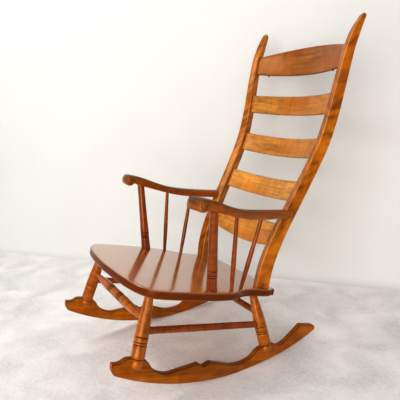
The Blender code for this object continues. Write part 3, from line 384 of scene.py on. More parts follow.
class ChairSizes(bpy.types.PropertyGroup):
    """Sizes of the chair's edges, turnings and boards."""

    recline: FloatProperty(name="Recline", description="How far the empty chair leans back on its rockers",
                           default=math.radians(15.5), subtype="ANGLE", unit="ROTATION")
    seat_thickness: length_setting("Seat thickness", "Thickness of the seat plank", 0.024)
    seat_rounding: length_setting("Seat rounding", "Radius round the seat's top and bottom edges", 0.005)
    rocker_thickness: length_setting("Rocker thickness", "Thickness of the rocker boards",
                                     ROCKER_BOX[1].x - ROCKER_BOX[0].x)
    rocker_easing: length_setting("Rocker easing", "Radius along the rockers' edges", 0.003)
    leg_ball_radius: length_setting("Leg ball radius", "Radius of the ball on each leg's foot", 0.0207)
    leg_ring_radius: length_setting("Leg ring radius", "Radius of the grooved part of each leg", 0.0198)
    leg_swell_radius: length_setting("Leg swell radius", "Radius of each leg above its rings", 0.0185)
    groove_depth: length_setting("Groove depth", "Depth of the rings cut in the turnings", 0.0020)
    groove_half_width: length_setting("Groove half width", "Half the width of those rings", 0.0016)
    stretcher_radius: length_setting("Stretcher radius", "Radius of the plain stretchers", 0.0105)
    post_easing: length_setting("Post easing", "Radius along the back posts' edges", 0.0035)
    slat_height: length_setting("Slat height", "Height of a back slat at its ends", 0.070)
    slat_thickness: length_setting("Slat thickness", "Thickness of the back slats", 0.010)
    slat_easing: length_setting("Slat easing", "Radius along the slats' edges", 0.0030)
    arm_rounding: length_setting("Arm rounding", "Radius along the arms' upper edges", 0.0085)
    scroll_radius: length_setting("Scroll radius", "Radius of the scroll at the front of each arm", 0.0185)
    volute_radius: length_setting("Volute radius", "Radius of the carved line in the scrolls", 0.0013)
    arm_post_base_radius: length_setting("Arm post base", "Radius of the arm posts on the seat", 0.0165)
    arm_post_body_radius: length_setting("Arm post body", "Radius of the arm posts at their rings", 0.0155)
    spindle_radius: length_setting("Spindle radius", "Largest radius of the spindles", 0.0075)
    hook_wire_radius: length_setting("Hook wire", "Radius of the hooks' wire", 0.0014)


class ChairFinish(bpy.types.PropertyGroup):
    """Colours and gloss of the chair's finishes."""

    seat_colour: colour_setting("Seat", "Stain of the seat plank", (0.46, 0.15, 0.024))
    post_colour: colour_setting("Posts", "Stain of the back posts", (0.42, 0.136, 0.007))
    leg_colour: colour_setting("Legs", "Stain of the legs and the front stretcher", (0.40, 0.108, 0.005))
    turned_colour: colour_setting("Turnings", "Stain of the other stretchers, arm posts and spindles",
                                  (0.26, 0.052, 0.004))
    # Wear and painted highlights along the posts' corners
    worn_and_highlight_colour: colour_setting("Worn corners", "Colour of the posts' rubbed corners", (0.75, 0.36, 0.12))
    slat_colour: colour_setting("Slats", "Stain of the back slats", (0.55, 0.22, 0.036))
    arm_colour: colour_setting("Arms", "Stain of the arms", (0.29, 0.075, 0.008))
    # Painted shade on the seat's side face
    rim_shade_colour: colour_setting("Seat rim", "Colour of the darkened rim round the seat",
                               (0.100, 0.016, 0.003))
    varnish_colour: colour_setting("Varnish", "Tint of the light that the varnished wood reflects",
                                   (1.0, 0.50, 0.14))
    patina_colour: colour_setting("Patina", "Colour of the arms where hands have darkened them",
                                  (0.085, 0.052, 0.024))
    rocker_colour: colour_setting("Rockers", "Stain of the rockers", (0.36, 0.098, 0.003))
    dowel_colour: colour_setting("Dowels", "Colour of the dowels' end grain", (0.45, 0.200, 0.070))
    steel_colour: colour_setting("Steel", "Colour of the hooks and screws", (0.05, 0.046, 0.042))
    seat_gloss: share_setting("Seat gloss", "Strength of the seat's varnish", 1.0)
    frame_gloss: share_setting("Frame gloss", "Strength of the other pieces' varnish", 0.10)


class ChairStage(bpy.types.PropertyGroup):
    """Floor, backdrop, light and camera."""

    floor_colour: colour_setting("Floor", "Colour of the floor", (0.95, 0.93, 0.91))
    wall_colour: colour_setting("Wall", "Colour of the backdrop", (0.80, 0.79, 0.755))
    wall_turn: FloatProperty(name="Wall turn", description="Direction that the backdrop faces",
                             default=math.radians(-49.7), subtype="ANGLE", unit="ROTATION")
    wall_distance: length_setting("Wall distance", "How far the backdrop stands behind the middle", 0.62)
    wall_cove: length_setting("Wall cove", "Radius with which the backdrop meets the floor", 0.04)
    sky_colour: colour_setting("Surroundings", "Colour of the light from all round", (0.95, 0.94, 0.92))
    sky_strength: FloatProperty(name="Surroundings strength", description="Strength of the light all round",
                                default=0.42, min=0.0)
    view_strength: FloatProperty(name="View strength", description="Brightness of what lies past the stage",
                                 default=0.95, min=0.0)
    window_power: power_setting("Window light", "Power of the tall light before the chair", 88.0)
    upper_power: power_setting("Upper light", "Power of the soft light high on the chair's right", 20.0)
    view_gamma: FloatProperty(name="Gamma", description="Gamma of the view, lower for deeper tones",
                              default=0.87, min=0.1)
    floor_radius: length_setting("Floor radius", "Radius of the floor", 9.0)
    camera_place: FloatVectorProperty(name="Camera place", description="Where the camera stands",
                                      default=(1.2825, -0.7856, 0.8338), subtype="TRANSLATION",
                                      unit="LENGTH")
    camera_turn: FloatVectorProperty(name="Camera turn", description="How the camera is turned",
                                     default=(1.35506, 0.03155, 1.03620), subtype="EULER",
                                     unit="ROTATION")
    camera_lens: FloatProperty(name="Lens", description="Focal length in millimetres on a 36 mm sensor",
                               default=40.5, min=1.0, subtype="DISTANCE_CAMERA")


# Lines and outlines


def smooth_points(points, steps):
    """Return points on a Catmull-Rom curve through the given tuples, each gap split into steps."""
    padded = [points[0], *points, points[-1]]
    result = []
    for before, start, end, after in zip(padded, padded[1:], padded[2:], padded[3:]):
        for step in range(steps):
            t = step / steps
            result.append(tuple(
                0.5 * (2 * b + (c - a) * t + (2 * a - 5 * b + 4 * c - d) * t * t
                       + (3 * b - a - 3 * c + d) * t * t * t)
                for a, b, c, d in zip(before, start, end, after)
            ))
    result.append(tuple(points[-1]))
    return result


def read_curve(points, key):
    """Interpolate the tuples, sorted by their first value, at that value."""
    rows = sorted(points)
    for low, high in zip(rows, rows[1:]):
        if key <= high[0]:
            t = (key - low[0]) / (high[0] - low[0])
            return tuple(a + (b - a) * t for a, b in zip(low[1:], high[1:]))
    return rows[-1][1:]


def softened(points, rounds):
    """Cut the corners of an open line again and again, keeping its ends."""
    line = [Vector(point) for point in points]
    for _ in range(rounds):
        cut = [line[0]]
        for start, end in zip(line, line[1:]):
            cut += [start.lerp(end, 0.25), start.lerp(end, 0.75)]
        line = cut + [line[-1]]
    return [tuple(point) for point in line]


def grown_outline(outline, distances):
    """Move each point of an outline outwards by its distance, the outline running anticlockwise."""
    result = []
    count = len(outline)
    for index, point in enumerate(outline):
        here = Vector(point)
        into = (here - Vector(outline[index - 1])).normalized()
        away = (Vector(outline[(index + 1) % count]) - here).normalized()
        normal = Vector((into.y + away.y, -into.x - away.x)).normalized()
        lean = max(CORNER_LIMIT, normal.dot(Vector((into.y, -into.x))))
        result.append(here + normal * distances[index] / lean)
    return result


def quarter_turns(steps):
    """Return the angles that split a quarter turn into steps, with both of its ends."""
    return [math.radians(90 * step / steps) for step in range(steps + 1)]


def rounded_section(half_width, half_depth, radius):
    """Return the points of a rectangle with rounded corners, each with how much it lies on a corner."""
    radius = min(radius, POST_CORNER_LIMIT * half_width, POST_CORNER_LIMIT * half_depth)
    points = []
    for x_side, y_side, start in ((1, 1, 0), (-1, 1, 90), (-1, -1, 180), (1, -1, 270)):
        for bend in quarter_turns(POST_CORNER_STEPS):
            turn = math.radians(start) + bend
            x = x_side * (half_width - radius) + radius * math.cos(turn)
            y = y_side * (half_depth - radius) + radius * math.sin(turn)
            points.append((x, y, math.sin(2 * bend)))
    return points


# Meshes and pieces


def new_blank():
    """Start an empty mesh whose points carry their place in the grain, their grime and painted shade, and
    their edge.
    """
    mesh = bmesh.new()
    mesh.verts.layers.float_vector.new("grain")
    mesh.verts.layers.float.new("grime_and_shade")
    mesh.verts.layers.float.new("edge")
    return mesh


def add_skin(mesh, rings, matrix, along, seed, ends="flat"):
    """Add a closed skin through rings of (point, grime and painted shade, edge), its ends flat or laddered
    across.
    """
    layers = mesh.verts.layers
    grain = layers.float_vector["grain"]
    grime_and_shade = layers.float["grime_and_shade"]
    edge = layers.float["edge"]
    first, second, third = GRAIN_ORDER[along]
    shift = GRAIN_SHIFT * seed
    made = []
    for ring in rings:
        row = []
        for point, grime_and_shade_share, edge_share in ring:
            vertex = mesh.verts.new(matrix @ Vector(point))
            vertex[grain] = Vector((point[first], point[second], point[third])) + shift
            vertex[grime_and_shade] = grime_and_shade_share
            vertex[edge] = edge_share
            row.append(vertex)
        made.append(row)
    for low, high in zip(made, made[1:]):
        for index in range(len(low)):
            mesh.faces.new((low[index - 1], low[index], high[index], high[index - 1]))
    for row in (list(reversed(made[0])), made[-1]):
        if ends == "flat":
            mesh.faces.new(row)
        else:
            last = len(row) - 1
            for index in range(len(row) // 2 - 1):
                mesh.faces.new((row[index], row[index + 1], row[last - index - 1], row[last - index]))


def mirrored(side):
    """Return the matrix that puts a left-hand piece on the given side."""
    return Matrix.Diagonal((side, 1.0, 1.0, 1.0))


def axis_matrix(start, end):
    """Return the matrix whose z axis runs from start to end."""
    turn = (Vector(end) - Vector(start)).to_track_quat("Z", "Y")
    return Matrix.Translation(Vector(start)) @ turn.to_matrix().to_4x4()


def chair_matrix(sizes):
    """Return the matrix that reclines the chair's own frame onto the fixed frame's rest."""
    sine, cosine = math.sin(sizes.recline), math.cos(sizes.recline)
    reach = math.sqrt(ROCKER_RADIUS ** 2 - (ROCKER_REST_LENGTH / 2) ** 2)
    y = REST_PLACE.y - ROCKER_CENTRE_Y * cosine - ROCKER_CENTRE_Z * sine
    z = REST_PLACE.z + reach + ROCKER_CENTRE_Y * sine - ROCKER_CENTRE_Z * cosine
    return Matrix.Translation((0.0, y, z)) @ Matrix.Rotation(-sizes.recline, 4, "X")


def make_object(context, name, mesh):
    """Turn a mesh in the chair's frame into an object in the fixed frame."""
    bmesh.ops.recalc_face_normals(mesh, faces=mesh.faces)
    data = bpy.data.meshes.new(name)
    mesh.to_mesh(data)
    mesh.free()
    data.transform(chair_matrix(context.scene.chair_sizes))
    made = bpy.data.objects.new(name, data)
    context.scene.collection.objects.link(made)
    return made


def carve(context, piece, mesh):
    """Cut the bodies of a mesh out of a piece, once and for all."""
    cutter = make_object(context, piece.name + "_cutter", mesh)
    boolean = piece.modifiers.new("carve", "BOOLEAN")
    boolean.operation = "DIFFERENCE"
    boolean.solver = "MANIFOLD"
    boolean.object = cutter
    context.view_layer.update()
    carved = bpy.data.meshes.new_from_object(piece.evaluated_get(context.evaluated_depsgraph_get()))
    piece.modifiers.clear()
    plain = piece.data
    piece.data = carved
    bpy.data.meshes.remove(plain)
    cutter_data = cutter.data
    bpy.data.objects.remove(cutter)
    bpy.data.meshes.remove(cutter_data)


def finish_piece(piece, node, material, sharp_degrees=SHARP_DEGREES):
    """Smooth a piece, give it its finish and let it stand for its CAD node."""
    piece.data.materials.clear()
    piece.data.materials.append(material)
    piece.data.shade_smooth()
    piece.data.set_sharp_from_angle(angle=math.radians(sharp_degrees))
    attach(piece, "root")
    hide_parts(node)


def make_piece(context, node, material, rings, matrix, along, seed, ends="flat", cutter=None):
    """Make a piece through rings, carve a cutter's bodies out of it and let it stand for its CAD node."""
    mesh = new_blank()
    add_skin(mesh, rings, matrix, along, seed, ends)
    piece = make_object(context, "fine_" + node, mesh)
    if cutter:
        carve(context, piece, cutter)
    finish_piece(piece, node, material)
    return piece


def turned_rings(profile, sides):
    """Return the rings of a piece turned round the z axis from (height, radius, groove)."""
    turns = [2 * math.pi * index / sides for index in range(sides)]
    return [
        [((radius * math.cos(turn), radius * math.sin(turn), z), groove, 0.0) for turn in turns]
        for z, radius, groove in profile]


def make_turned(context, node, ends, profile, sides, material):
    """Make a turned piece whose axis runs from the first end to the second."""
    seed = 1.0 + sum(ord(letter) for letter in node) % TURNED_GRAIN_PLACES
    rings = turned_rings(profile, sides)
    return make_piece(context, node, material, rings, axis_matrix(*ends), "z", seed)


def add_tube(mesh, points, radius, sides, matrix, groove):
    """Add a round tube along points that lie in a plane across the x axis."""
    across = Vector((1.0, 0.0, 0.0))
    rings = []
    for index, point in enumerate(points):
        before = points[max(0, index - 1)]
        after = points[min(len(points) - 1, index + 1)]
        along = (after - before).normalized()
        out = along.cross(across).normalized()
        square = out.cross(along).normalized()
        ring = []
        for side in range(sides):
            turn = 2 * math.pi * side / sides
            ring.append((point + radius * (math.cos(turn) * out + math.sin(turn) * square), groove, 0.0))
        rings.append(ring)
    add_skin(mesh, rings, matrix, "z", GRAIN_SEEDS["tube"])


# Shapes that several pieces share


def arc_z(y):
    """Return the height of the rocker's bottom arc."""
    return ROCKER_CENTRE_Z - math.sqrt(ROCKER_RADIUS ** 2 - (y - ROCKER_CENTRE_Y) ** 2)


def above_arc(points):
    """Turn heights above the bottom arc into heights in the chair's frame."""
    return [(y, arc_z(y) + height) for y, height in points]


def rocker_top():
    """Return the rocker's top edge from front to rear."""
    front = smooth_points(ROCKER_FRONT_TOP, ROCKER_CURVE_STEPS)
    rear = smooth_points(ROCKER_REAR_TOP, ROCKER_CURVE_STEPS)
    return above_arc(front + [ROCKER_NOTCH] + rear)


def rocker_outline(recline):
    """Return the rocker's side outline as (y, z), anticlockwise seen from +x."""
    half = math.asin(0.5 * ROCKER_REST_LENGTH / ROCKER_RADIUS)
    first, last = [math.asin((y - ROCKER_CENTRE_Y) / ROCKER_RADIUS) for y in ROCKER_ARC]
    arc = []
    for start, end in ((first, recline - half), (recline + half, last)):
        count = max(1, round(math.degrees(end - start)))
        for index in range(count + 1):
            turn = start + (end - start) * index / count
            y = ROCKER_CENTRE_Y + ROCKER_RADIUS * math.sin(turn)
            arc.append((y, ROCKER_CENTRE_Z - ROCKER_RADIUS * math.cos(turn)))
    top = rocker_top()
    tail = smooth_points([arc[-1], *above_arc(ROCKER_TAIL_SOLE + ROCKER_TAIL_END)], ROCKER_TAIL_STEPS)
    nose = softened([top[0], *reversed(above_arc(ROCKER_NOSE)), arc[0]], ROCKER_NOSE_ROUNDS)
    return arc[:-1] + tail + list(reversed(top[1:])) + nose[:-1]


def leg_ends(end, side):
    """Return a leg's foot and its place at the seat's underside."""
    top_x, top_y, foot_y = LEG_PLACES[end]
    pin_z = read_curve(rocker_top(), foot_y)[0] - LEG_FOOT_OVERLAP + LEG_PIN_HEIGHT
    middle_x = (ROCKER_BOX[0].x + ROCKER_BOX[1].x) / 2
    pin = Vector((side * middle_x, foot_y, pin_z))
    thickness = bpy.context.scene.chair_sizes.seat_thickness
    top = Vector((side * top_x, top_y, -thickness))
    along = (top - pin).normalized()
    return pin - along * LEG_PIN_HEIGHT, top


def leg_point(end, side, z):
    """Return the place on a leg's axis at a height."""
    foot, top = leg_ends(end, side)
    return foot.lerp(top, (z - foot.z) / (top.z - foot.z))


def set_back(start, end, distance):
    """Return both ends of a stretch, each moved towards the other."""
    along = (end - start).normalized() * distance
    return start + along, end - along


def post_section(z):
    """Return the middle along y, the depth, the width and the inset of a back post at a height."""
    return read_curve(smooth_points(POST_SHAPE, POST_CURVE_STEPS), z)


def post_point(z, across, back):
    """Return a place in the left back post, so far outwards and back from its middle line."""
    middle, _, _, inset = post_section(z)
    x = POST_FOOT_X + POST_SPLAY * z - inset + across * math.cos(POST_TURN) + back * math.sin(POST_TURN)
    y = middle - across * math.sin(POST_TURN) + back * math.cos(POST_TURN)
    return Vector((x, y, z))


def post_inner_point(z):
    """Return the middle of the left back post's inner face at a height."""
    return post_point(z, -post_section(z)[2] / 2, 0.0)


def arm_section(y):
    """Return an arm's underside, top, inner x and outer x behind its scroll."""
    return read_curve(smooth_points(ARM_SHAPE, ARM_CURVE_STEPS), y)


def upright_ends(places, side):
    """Return the ends of an upright, a little way into the seat and into the arm."""
    (base_x, base_y), (top_x, top_y) = places
    low = Vector((side * base_x, base_y, 0.0))
    high = Vector((side * top_x, top_y, arm_section(top_y)[0]))
    along = (high - low).normalized() * UPRIGHT_SINK
    return low - along, high + along


def slat_edges(name, across, sizes):
    """Return a slat's lower and upper edge at a place across it, from -1 to 1."""
    low = BOTTOM_SLAT_Z + SLAT_NAMES.index(name) * (sizes.slat_height + SLAT_GAP)
    high = low + sizes.slat_height
    bulge = 1.0 - min(1.0, abs(across)) ** 2
    if name == "bottom_slat":
        low -= BOTTOM_SLAT_BELLY * bulge
    if name == "crest_slat":
        high += CREST_RISE * bulge
    return low, high


def slat_bow(name, across, sizes):
    """Return how far a slat bows back and up at a place across it, square to the posts' line there."""
    low, high = slat_edges(name, 1.0, sizes)
    lean = math.atan2(post_section(high)[0] - post_section(low)[0], high - low)
    bow = SLAT_BOWS[name] * (1.0 - across ** 2)
    return bow * math.cos(lean), -bow * math.sin(lean)


def hook_root(side, sizes):
    """Return where a hook's shank enters the crest slat's lower edge."""
    z = slat_edges("crest_slat", 0.0, sizes)[0]
    inner = post_inner_point(z)
    back_bow, up_bow = slat_bow("crest_slat", HOOK_X / inner.x, sizes)
    return Vector((side * HOOK_X, inner.y + back_bow, z + up_bow))


def screw_ends(side):
    """Return the head end and the point of the screw from a back post into the arm."""
    underside, top, _, _ = arm_section(ARM_SHAPE[0][0])
    z = 0.5 * (underside + top)
    depth = post_section(z)[1]
    head = post_point(z, SCREW_SHIFT, depth / 2 - SCREW_HEAD_SINK)
    point = post_point(z, SCREW_SHIFT, -depth / 2 - SCREW_GRIP)
    return mirrored(side) @ head, mirrored(side) @ point


# Profiles of the turned pieces, as (distance, radius, groove) from the first end; the groove share also
# darkens them


def grooved(knots, step, grooves=(), half_width=0.0, depth=0.0):
    """Return a smooth profile through the (distance, radius) knots with the grooves cut in."""
    line = smooth_points(knots, PROFILE_CURVE_STEPS)
    start, end = knots[0][0], knots[-1][0]
    count = math.ceil((end - start) / step)
    stops = [start + (end - start) * index / count for index in range(count + 1)]
    reach = GROOVE_REACH * half_width
    for groove in grooves:
        stops = [stop for stop in stops if abs(stop - groove) > reach + step / 8]
        stops += [groove + reach * index / GROOVE_STOPS
                  for index in range(-GROOVE_STOPS, GROOVE_STOPS + 1)]
    profile = []
    for stop in sorted(stops):
        cut = 0.0
        for groove in grooves:
            away = abs(stop - groove) / half_width
            if away < 1.0:
                # How far a point lies in a groove: the finish darkens it by this as painted shade and
                # gathered stain
                cut = math.cos(away * math.pi / 2) ** GROOVE_POWER
        radius = read_curve(line, stop)[0] - depth * cut
        profile.append((stop, radius, cut))
    return profile


def leg_profile(length, sizes):
    """Return a leg's profile from the foot to a little way into the seat."""
    middle = 0.5 * LEG_BALL_HEIGHT
    profile = []
    start = LEG_BALL_END_DEGREES - LEG_BALL_SPAN_DEGREES
    for degrees in range(start, LEG_BALL_END_DEGREES + 1, LEG_BALL_STEP_DEGREES):
        turn = math.radians(degrees)
        radius = sizes.leg_ball_radius * math.cos(turn) ** LEG_BALL_FULLNESS
        # The ring where the ball meets the collar gets full painted shade for that crease
        grime_and_shade = 1.0 if degrees == LEG_BALL_END_DEGREES else 0.0
        profile.append((middle + middle * math.sin(turn), radius, grime_and_shade))
    taper_height = 0.5 * (LEG_SWELL_HEIGHT + length)
    taper_radius = LEG_TOP_RADIUS + LEG_TAPER_SHARE * (sizes.leg_swell_radius - LEG_TOP_RADIUS)
    knots = (
        (profile[-1][0] + LEG_COLLAR_LENGTH, sizes.leg_ring_radius),
        (LEG_GROOVES[0], sizes.leg_ring_radius),
        (LEG_RINGS_END, sizes.leg_ring_radius),
        (LEG_SWELL_HEIGHT, sizes.leg_swell_radius),
        (taper_height, taper_radius),
        (length - LEG_TOP_LEAD, LEG_TOP_RADIUS),
        (length + LEG_SINK, LEG_TOP_RADIUS),
    )
    return profile + grooved(knots, TURNED_STEP, LEG_GROOVES, sizes.groove_half_width, sizes.groove_depth)


def both_ends(half, length):
    """Return a list of pairs that runs out to the middle and back the same way."""
    return half + [(length - z, radius) for z, radius in reversed(half)]


def front_stretcher_profile(length):
    """Return the profile of the turned front stretcher with its two groups of rings and the painted shade
    round them.
    """
    middle = length / 2
    half = [(0.0, STRETCHER_END_RADIUS), (FRONT_STRETCHER_LEAD, STRETCHER_END_RADIUS)]
    for away, radius in (FRONT_STRETCHER_TAPER, FRONT_STRETCHER_RUN, FRONT_STRETCHER_SWELL,
                         FRONT_STRETCHER_LAND):
        half.append((middle - away, radius))
    half.append((middle - FRONT_STRETCHER_GROOVES[0] / 2, FRONT_STRETCHER_LAND[1]))
    grooves = [middle + away * side for side in (-1, 1) for away in FRONT_STRETCHER_GROOVES]
    profile = grooved(both_ends(half, length), TURNED_STEP, grooves, FRONT_STRETCHER_GROOVE_HALF_WIDTH,
                      FRONT_STRETCHER_GROOVE_DEPTH)
    # Painted shadow and dark reflection of the seat over the band round the rings
    low, high = FRONT_STRETCHER_SHADE_BAND
    return [(z, radius, max(grime_and_shade, FRONT_STRETCHER_PAINTED_SHADE if low < abs(z - middle) < high else 0.0))
            for z, radius, grime_and_shade in profile]


def plain_stretcher_profile(length, sizes):
    """Return the profile of a dowel whose ends taper into the legs."""
    half = [(0.0, STRETCHER_END_RADIUS)]
    half += [(lead, sizes.stretcher_radius) for lead in PLAIN_STRETCHER_LEADS]
    return grooved(both_ends(half, length), PLAIN_STEP)


def arm_post_profile(length, sizes):
    """Return an arm post's profile from the seat to the arm."""
    arm = length - UPRIGHT_SINK
    grooves = [UPRIGHT_SINK + height for height in ARM_POST_GROOVES]
    below, above = ARM_POST_BODY_LEADS
    body = sizes.arm_post_body_radius
    knots = (
        (0.0, sizes.arm_post_base_radius),
        (UPRIGHT_SINK + ARM_POST_FOOT, sizes.arm_post_base_radius),
        (grooves[0] - below, body), (grooves[-1] + above, body),
        (0.5 * length, 0.5 * (body + ARM_POST_TOP_RADIUS)),
        (arm - ARM_POST_LEAD, ARM_POST_TOP_RADIUS), (length, ARM_POST_TOP_RADIUS),
    )
    return grooved(knots, TURNED_STEP, grooves, sizes.groove_half_width, sizes.groove_depth)


def spindle_profile(length, sizes):
    """Return a spindle's profile from the seat to the arm."""
    swell, taper = SPINDLE_SWELL_PLACES
    middle_radius = 0.5 * (sizes.spindle_radius + SPINDLE_END_RADIUS)
    knots = (
        (0.0, SPINDLE_END_RADIUS), (SPINDLE_LEAD, SPINDLE_END_RADIUS),
        (swell * length, sizes.spindle_radius), (taper * length, middle_radius),
        (length - SPINDLE_LEAD, SPINDLE_END_RADIUS), (length, SPINDLE_END_RADIUS),
    )
    return grooved(knots, PLAIN_STEP)


# Finishes


def add_node(tree, kind, inputs=None, **settings):
    """Add a node with its settings and the values of its unlinked inputs."""
    node = tree.nodes.new(kind)
    for key, value in settings.items():
        setattr(node, key, value)
    for key, value in (inputs or {}).items():
        node.inputs[key].default_value = value
    return node


def new_finish(name):
    """Start a material and return it with its tree and its shader."""
    material = bpy.data.materials.new(name)
    material.use_nodes = True
    tree = material.node_tree
    return material, tree, tree.nodes["Principled BSDF"]


def point_value(tree, name, output):
    """Return the named value that a piece's points carry."""
    return add_node(tree, "ShaderNodeAttribute", attribute_name=name).outputs[output]


def stretched_noise(tree, vector, width, length, detail, distortion=0.0, lean=0.0):
    """Return noise whose patches are so many metres wide and long, leaned across the grain."""
    mapping = add_node(tree, "ShaderNodeMapping",
                       {"Scale": (width, width, length), "Rotation": (lean, lean, 0.0)},
                       vector_type="TEXTURE")
    tree.links.new(vector, mapping.inputs["Vector"])
    noise = add_node(tree, "ShaderNodeTexNoise",
                     {"Scale": 1.0, "Detail": detail, "Roughness": NOISE_ROUGHNESS,
                      "Distortion": distortion})
    tree.links.new(mapping.outputs["Vector"], noise.inputs["Vector"])
    return noise.outputs["Fac"]


def remapped(tree, value, low, high, to_low, to_high):
    """Return a value spread from one range to another."""
    node = add_node(tree, "ShaderNodeMapRange", {"From Min": low, "From Max": high,
                                                 "To Min": to_low, "To Max": to_high})
    tree.links.new(value, node.inputs["Value"])
    return node.outputs["Result"]


def combined(tree, operation, first, second):
    """Return a sum or product of a value with another value or a number."""
    node = add_node(tree, "ShaderNodeMath", operation=operation)
    for socket, value in zip(node.inputs, (first, second)):
        if isinstance(value, (int, float)):
            socket.default_value = value
        else:
            tree.links.new(value, socket)
    return node.outputs["Value"]


def weighted_sum(tree, *terms):
    """Return the sum of values, each times its number."""
    parts = [combined(tree, "MULTIPLY", value, number) for value, number in terms]
    total = parts[0]
    for part in parts[1:]:
        total = combined(tree, "ADD", total, part)
    return total


def mixed(tree, share, first, second, blend="MIX"):
    """Return one colour mixed with another by a share."""
    node = add_node(tree, "ShaderNodeMix", data_type="RGBA", blend_type=blend)
    for socket, value in zip((node.inputs[0], node.inputs[6], node.inputs[7]), (share, first, second)):
        if isinstance(value, (int, float)):
            socket.default_value = value
        elif isinstance(value, tuple):
            socket.default_value = (*value, 1.0)
        else:
            tree.links.new(value, socket)
    return node.outputs[2]


def ramped(tree, value, stops):
    """Return a colour read from (place, colour) stops."""
    node = add_node(tree, "ShaderNodeValToRGB")
    elements = node.color_ramp.elements
    while len(elements) < len(stops):
        elements.new(0.5)
    for element, (place, colour) in zip(elements, stops):
        element.position = place
        element.color = (*colour, 1.0)
    tree.links.new(value, node.inputs["Fac"])
    return node.outputs["Color"]


def add_relief(tree, shader, height, strength, distance):
    """Raise and lower a shader's surface by a pattern."""
    bump = add_node(tree, "ShaderNodeBump", {"Strength": strength, "Distance": distance})
    tree.links.new(height, bump.inputs["Height"])
    tree.links.new(bump.outputs["Normal"], shader.inputs["Normal"])


def tinted(colour, share, warmth=1.0):
    """Return a colour made lighter or darker, and warmer or cooler."""
    return (min(1.0, colour[0] * share * warmth), colour[1] * share, colour[2] * share / warmth)


def toned(tree, value, colour, stops):
    """Return a colour that a value makes darker or lighter, from (place, share) stops."""
    return ramped(tree, value, [(place, tinted(colour, share)) for place, share in stops])


def maple_finish(name, colour, edge_tint, gloss, figure, ripple=(0.035, 0.014), lean=0.0,
                 grime_and_shade_tint=None, roughness=(0.24, 0.36), coat_roughness=0.10, specular=0.5,
                 streaks=0.40, relief=0.12, contrast=1.0, pore_share=0.35, coat_ior=1.5):
    """Make stained, figured and varnished maple with grime and painted shade in hollows, and edges tinted
    for wear and painted light.
    """
    material, tree, shader = new_finish(name)
    grain = point_value(tree, "grain", "Vector")
    grime_and_shade = point_value(tree, "grime_and_shade", "Fac")
    edge = point_value(tree, "edge", "Fac")
    cloud = stretched_noise(tree, grain, *CLOUD)
    streak = stretched_noise(tree, grain, *STREAK)
    fibre = stretched_noise(tree, grain, *FIBRE)
    curl = stretched_noise(tree, grain, *ripple, *CURL_DETAIL, lean)
    warmth = stretched_noise(tree, grain, *WARMTH)

    tone = weighted_sum(tree, (streak, streaks), (cloud, 1.0 - FIBRE_SHARE - streaks), (fibre, FIBRE_SHARE))
    stain = ramped(tree, tone, [(place, tinted(colour, 1.0 + change * contrast, warm))
                                for place, change, warm in STAIN_STOPS])
    red = tuple(kept * part for kept, part in zip(RED_STAIN, colour))
    stain = mixed(tree, remapped(tree, warmth, *RED_SPREAD), stain, red)
    dim = tuple((1.0 - figure) ** power for power in CURL_DIM_POWERS)
    bright = 1.0 + CURL_BRIGHT_SHARE * figure
    shimmer = ramped(tree, remapped(tree, curl, *CURL_SPREAD), (
        (0.0, dim), (0.5, (1.0, 1.0, 1.0)), (1.0, (bright, bright, bright))))
    stain = mixed(tree, 1.0, stain, shimmer, "MULTIPLY")
    pores = remapped(tree, fibre, *PORE_SPREAD, pore_share)
    stain = mixed(tree, pores, stain, tinted(colour, PORE_TONE))
    broken = remapped(tree, streak, *EDGE_SPREAD)
    stain = mixed(tree, combined(tree, "MULTIPLY", edge, broken), stain, edge_tint)
    # Darken by the grime and painted shade value: shade in grooves and holes, the seat's rim, the
    # stretcher's band, the arms' patina
    stain = mixed(tree, combined(tree, "MULTIPLY", grime_and_shade, GRIME_AND_SHADE_SHARE), stain,
                  grime_and_shade_tint or tinted(colour, GRIME_AND_SHADE_TONE))
    tree.links.new(stain, shader.inputs["Base Color"])

    worn = combined(tree, "MULTIPLY", edge, EDGE_ROUGHNESS)
    sheen = remapped(tree, cloud, *SHEEN_SPREAD, *roughness)
    tree.links.new(combined(tree, "ADD", sheen, worn), shader.inputs["Roughness"])

    add_relief(tree, shader, weighted_sum(tree, (fibre, 0.5), (streak, 0.5)), relief, WOOD_RELIEF_HEIGHT)
    # Less varnish and reflection where the grime and painted shade lie
    tree.links.new(remapped(tree, grime_and_shade, 0.0, 1.0, gloss, 0.0), shader.inputs["Coat Weight"])
    dulled = remapped(tree, grime_and_shade, 0.0, 1.0, specular, GRIME_AND_SHADE_SPECULAR)
    tree.links.new(dulled, shader.inputs["Specular IOR Level"])
    shader.inputs["Coat Roughness"].default_value = coat_roughness
    shader.inputs["Coat IOR"].default_value = coat_ior
    shader.inputs["Specular Tint"].default_value = (*bpy.context.scene.chair_finish.varnish_colour, 1.0)
    return material


def dowel_finish(name, colour):
    """Make the end grain of a dowel: rings round its axis and open pores."""
    material, tree, shader = new_finish(name)
    grain = point_value(tree, "grain", "Vector")
    rings = stretched_noise(tree, grain, *DOWEL_RINGS)
    pores = stretched_noise(tree, grain, *DOWEL_PORES)
    stain = toned(tree, rings, colour, DOWEL_STOPS)
    stain = mixed(tree, remapped(tree, pores, *DOWEL_PORE_SPREAD), stain, tinted(colour, DOWEL_PORE_TONE))
    tree.links.new(stain, shader.inputs["Base Color"])
    tree.links.new(remapped(tree, pores, *DOWEL_ROUGHNESS), shader.inputs["Roughness"])
    return material


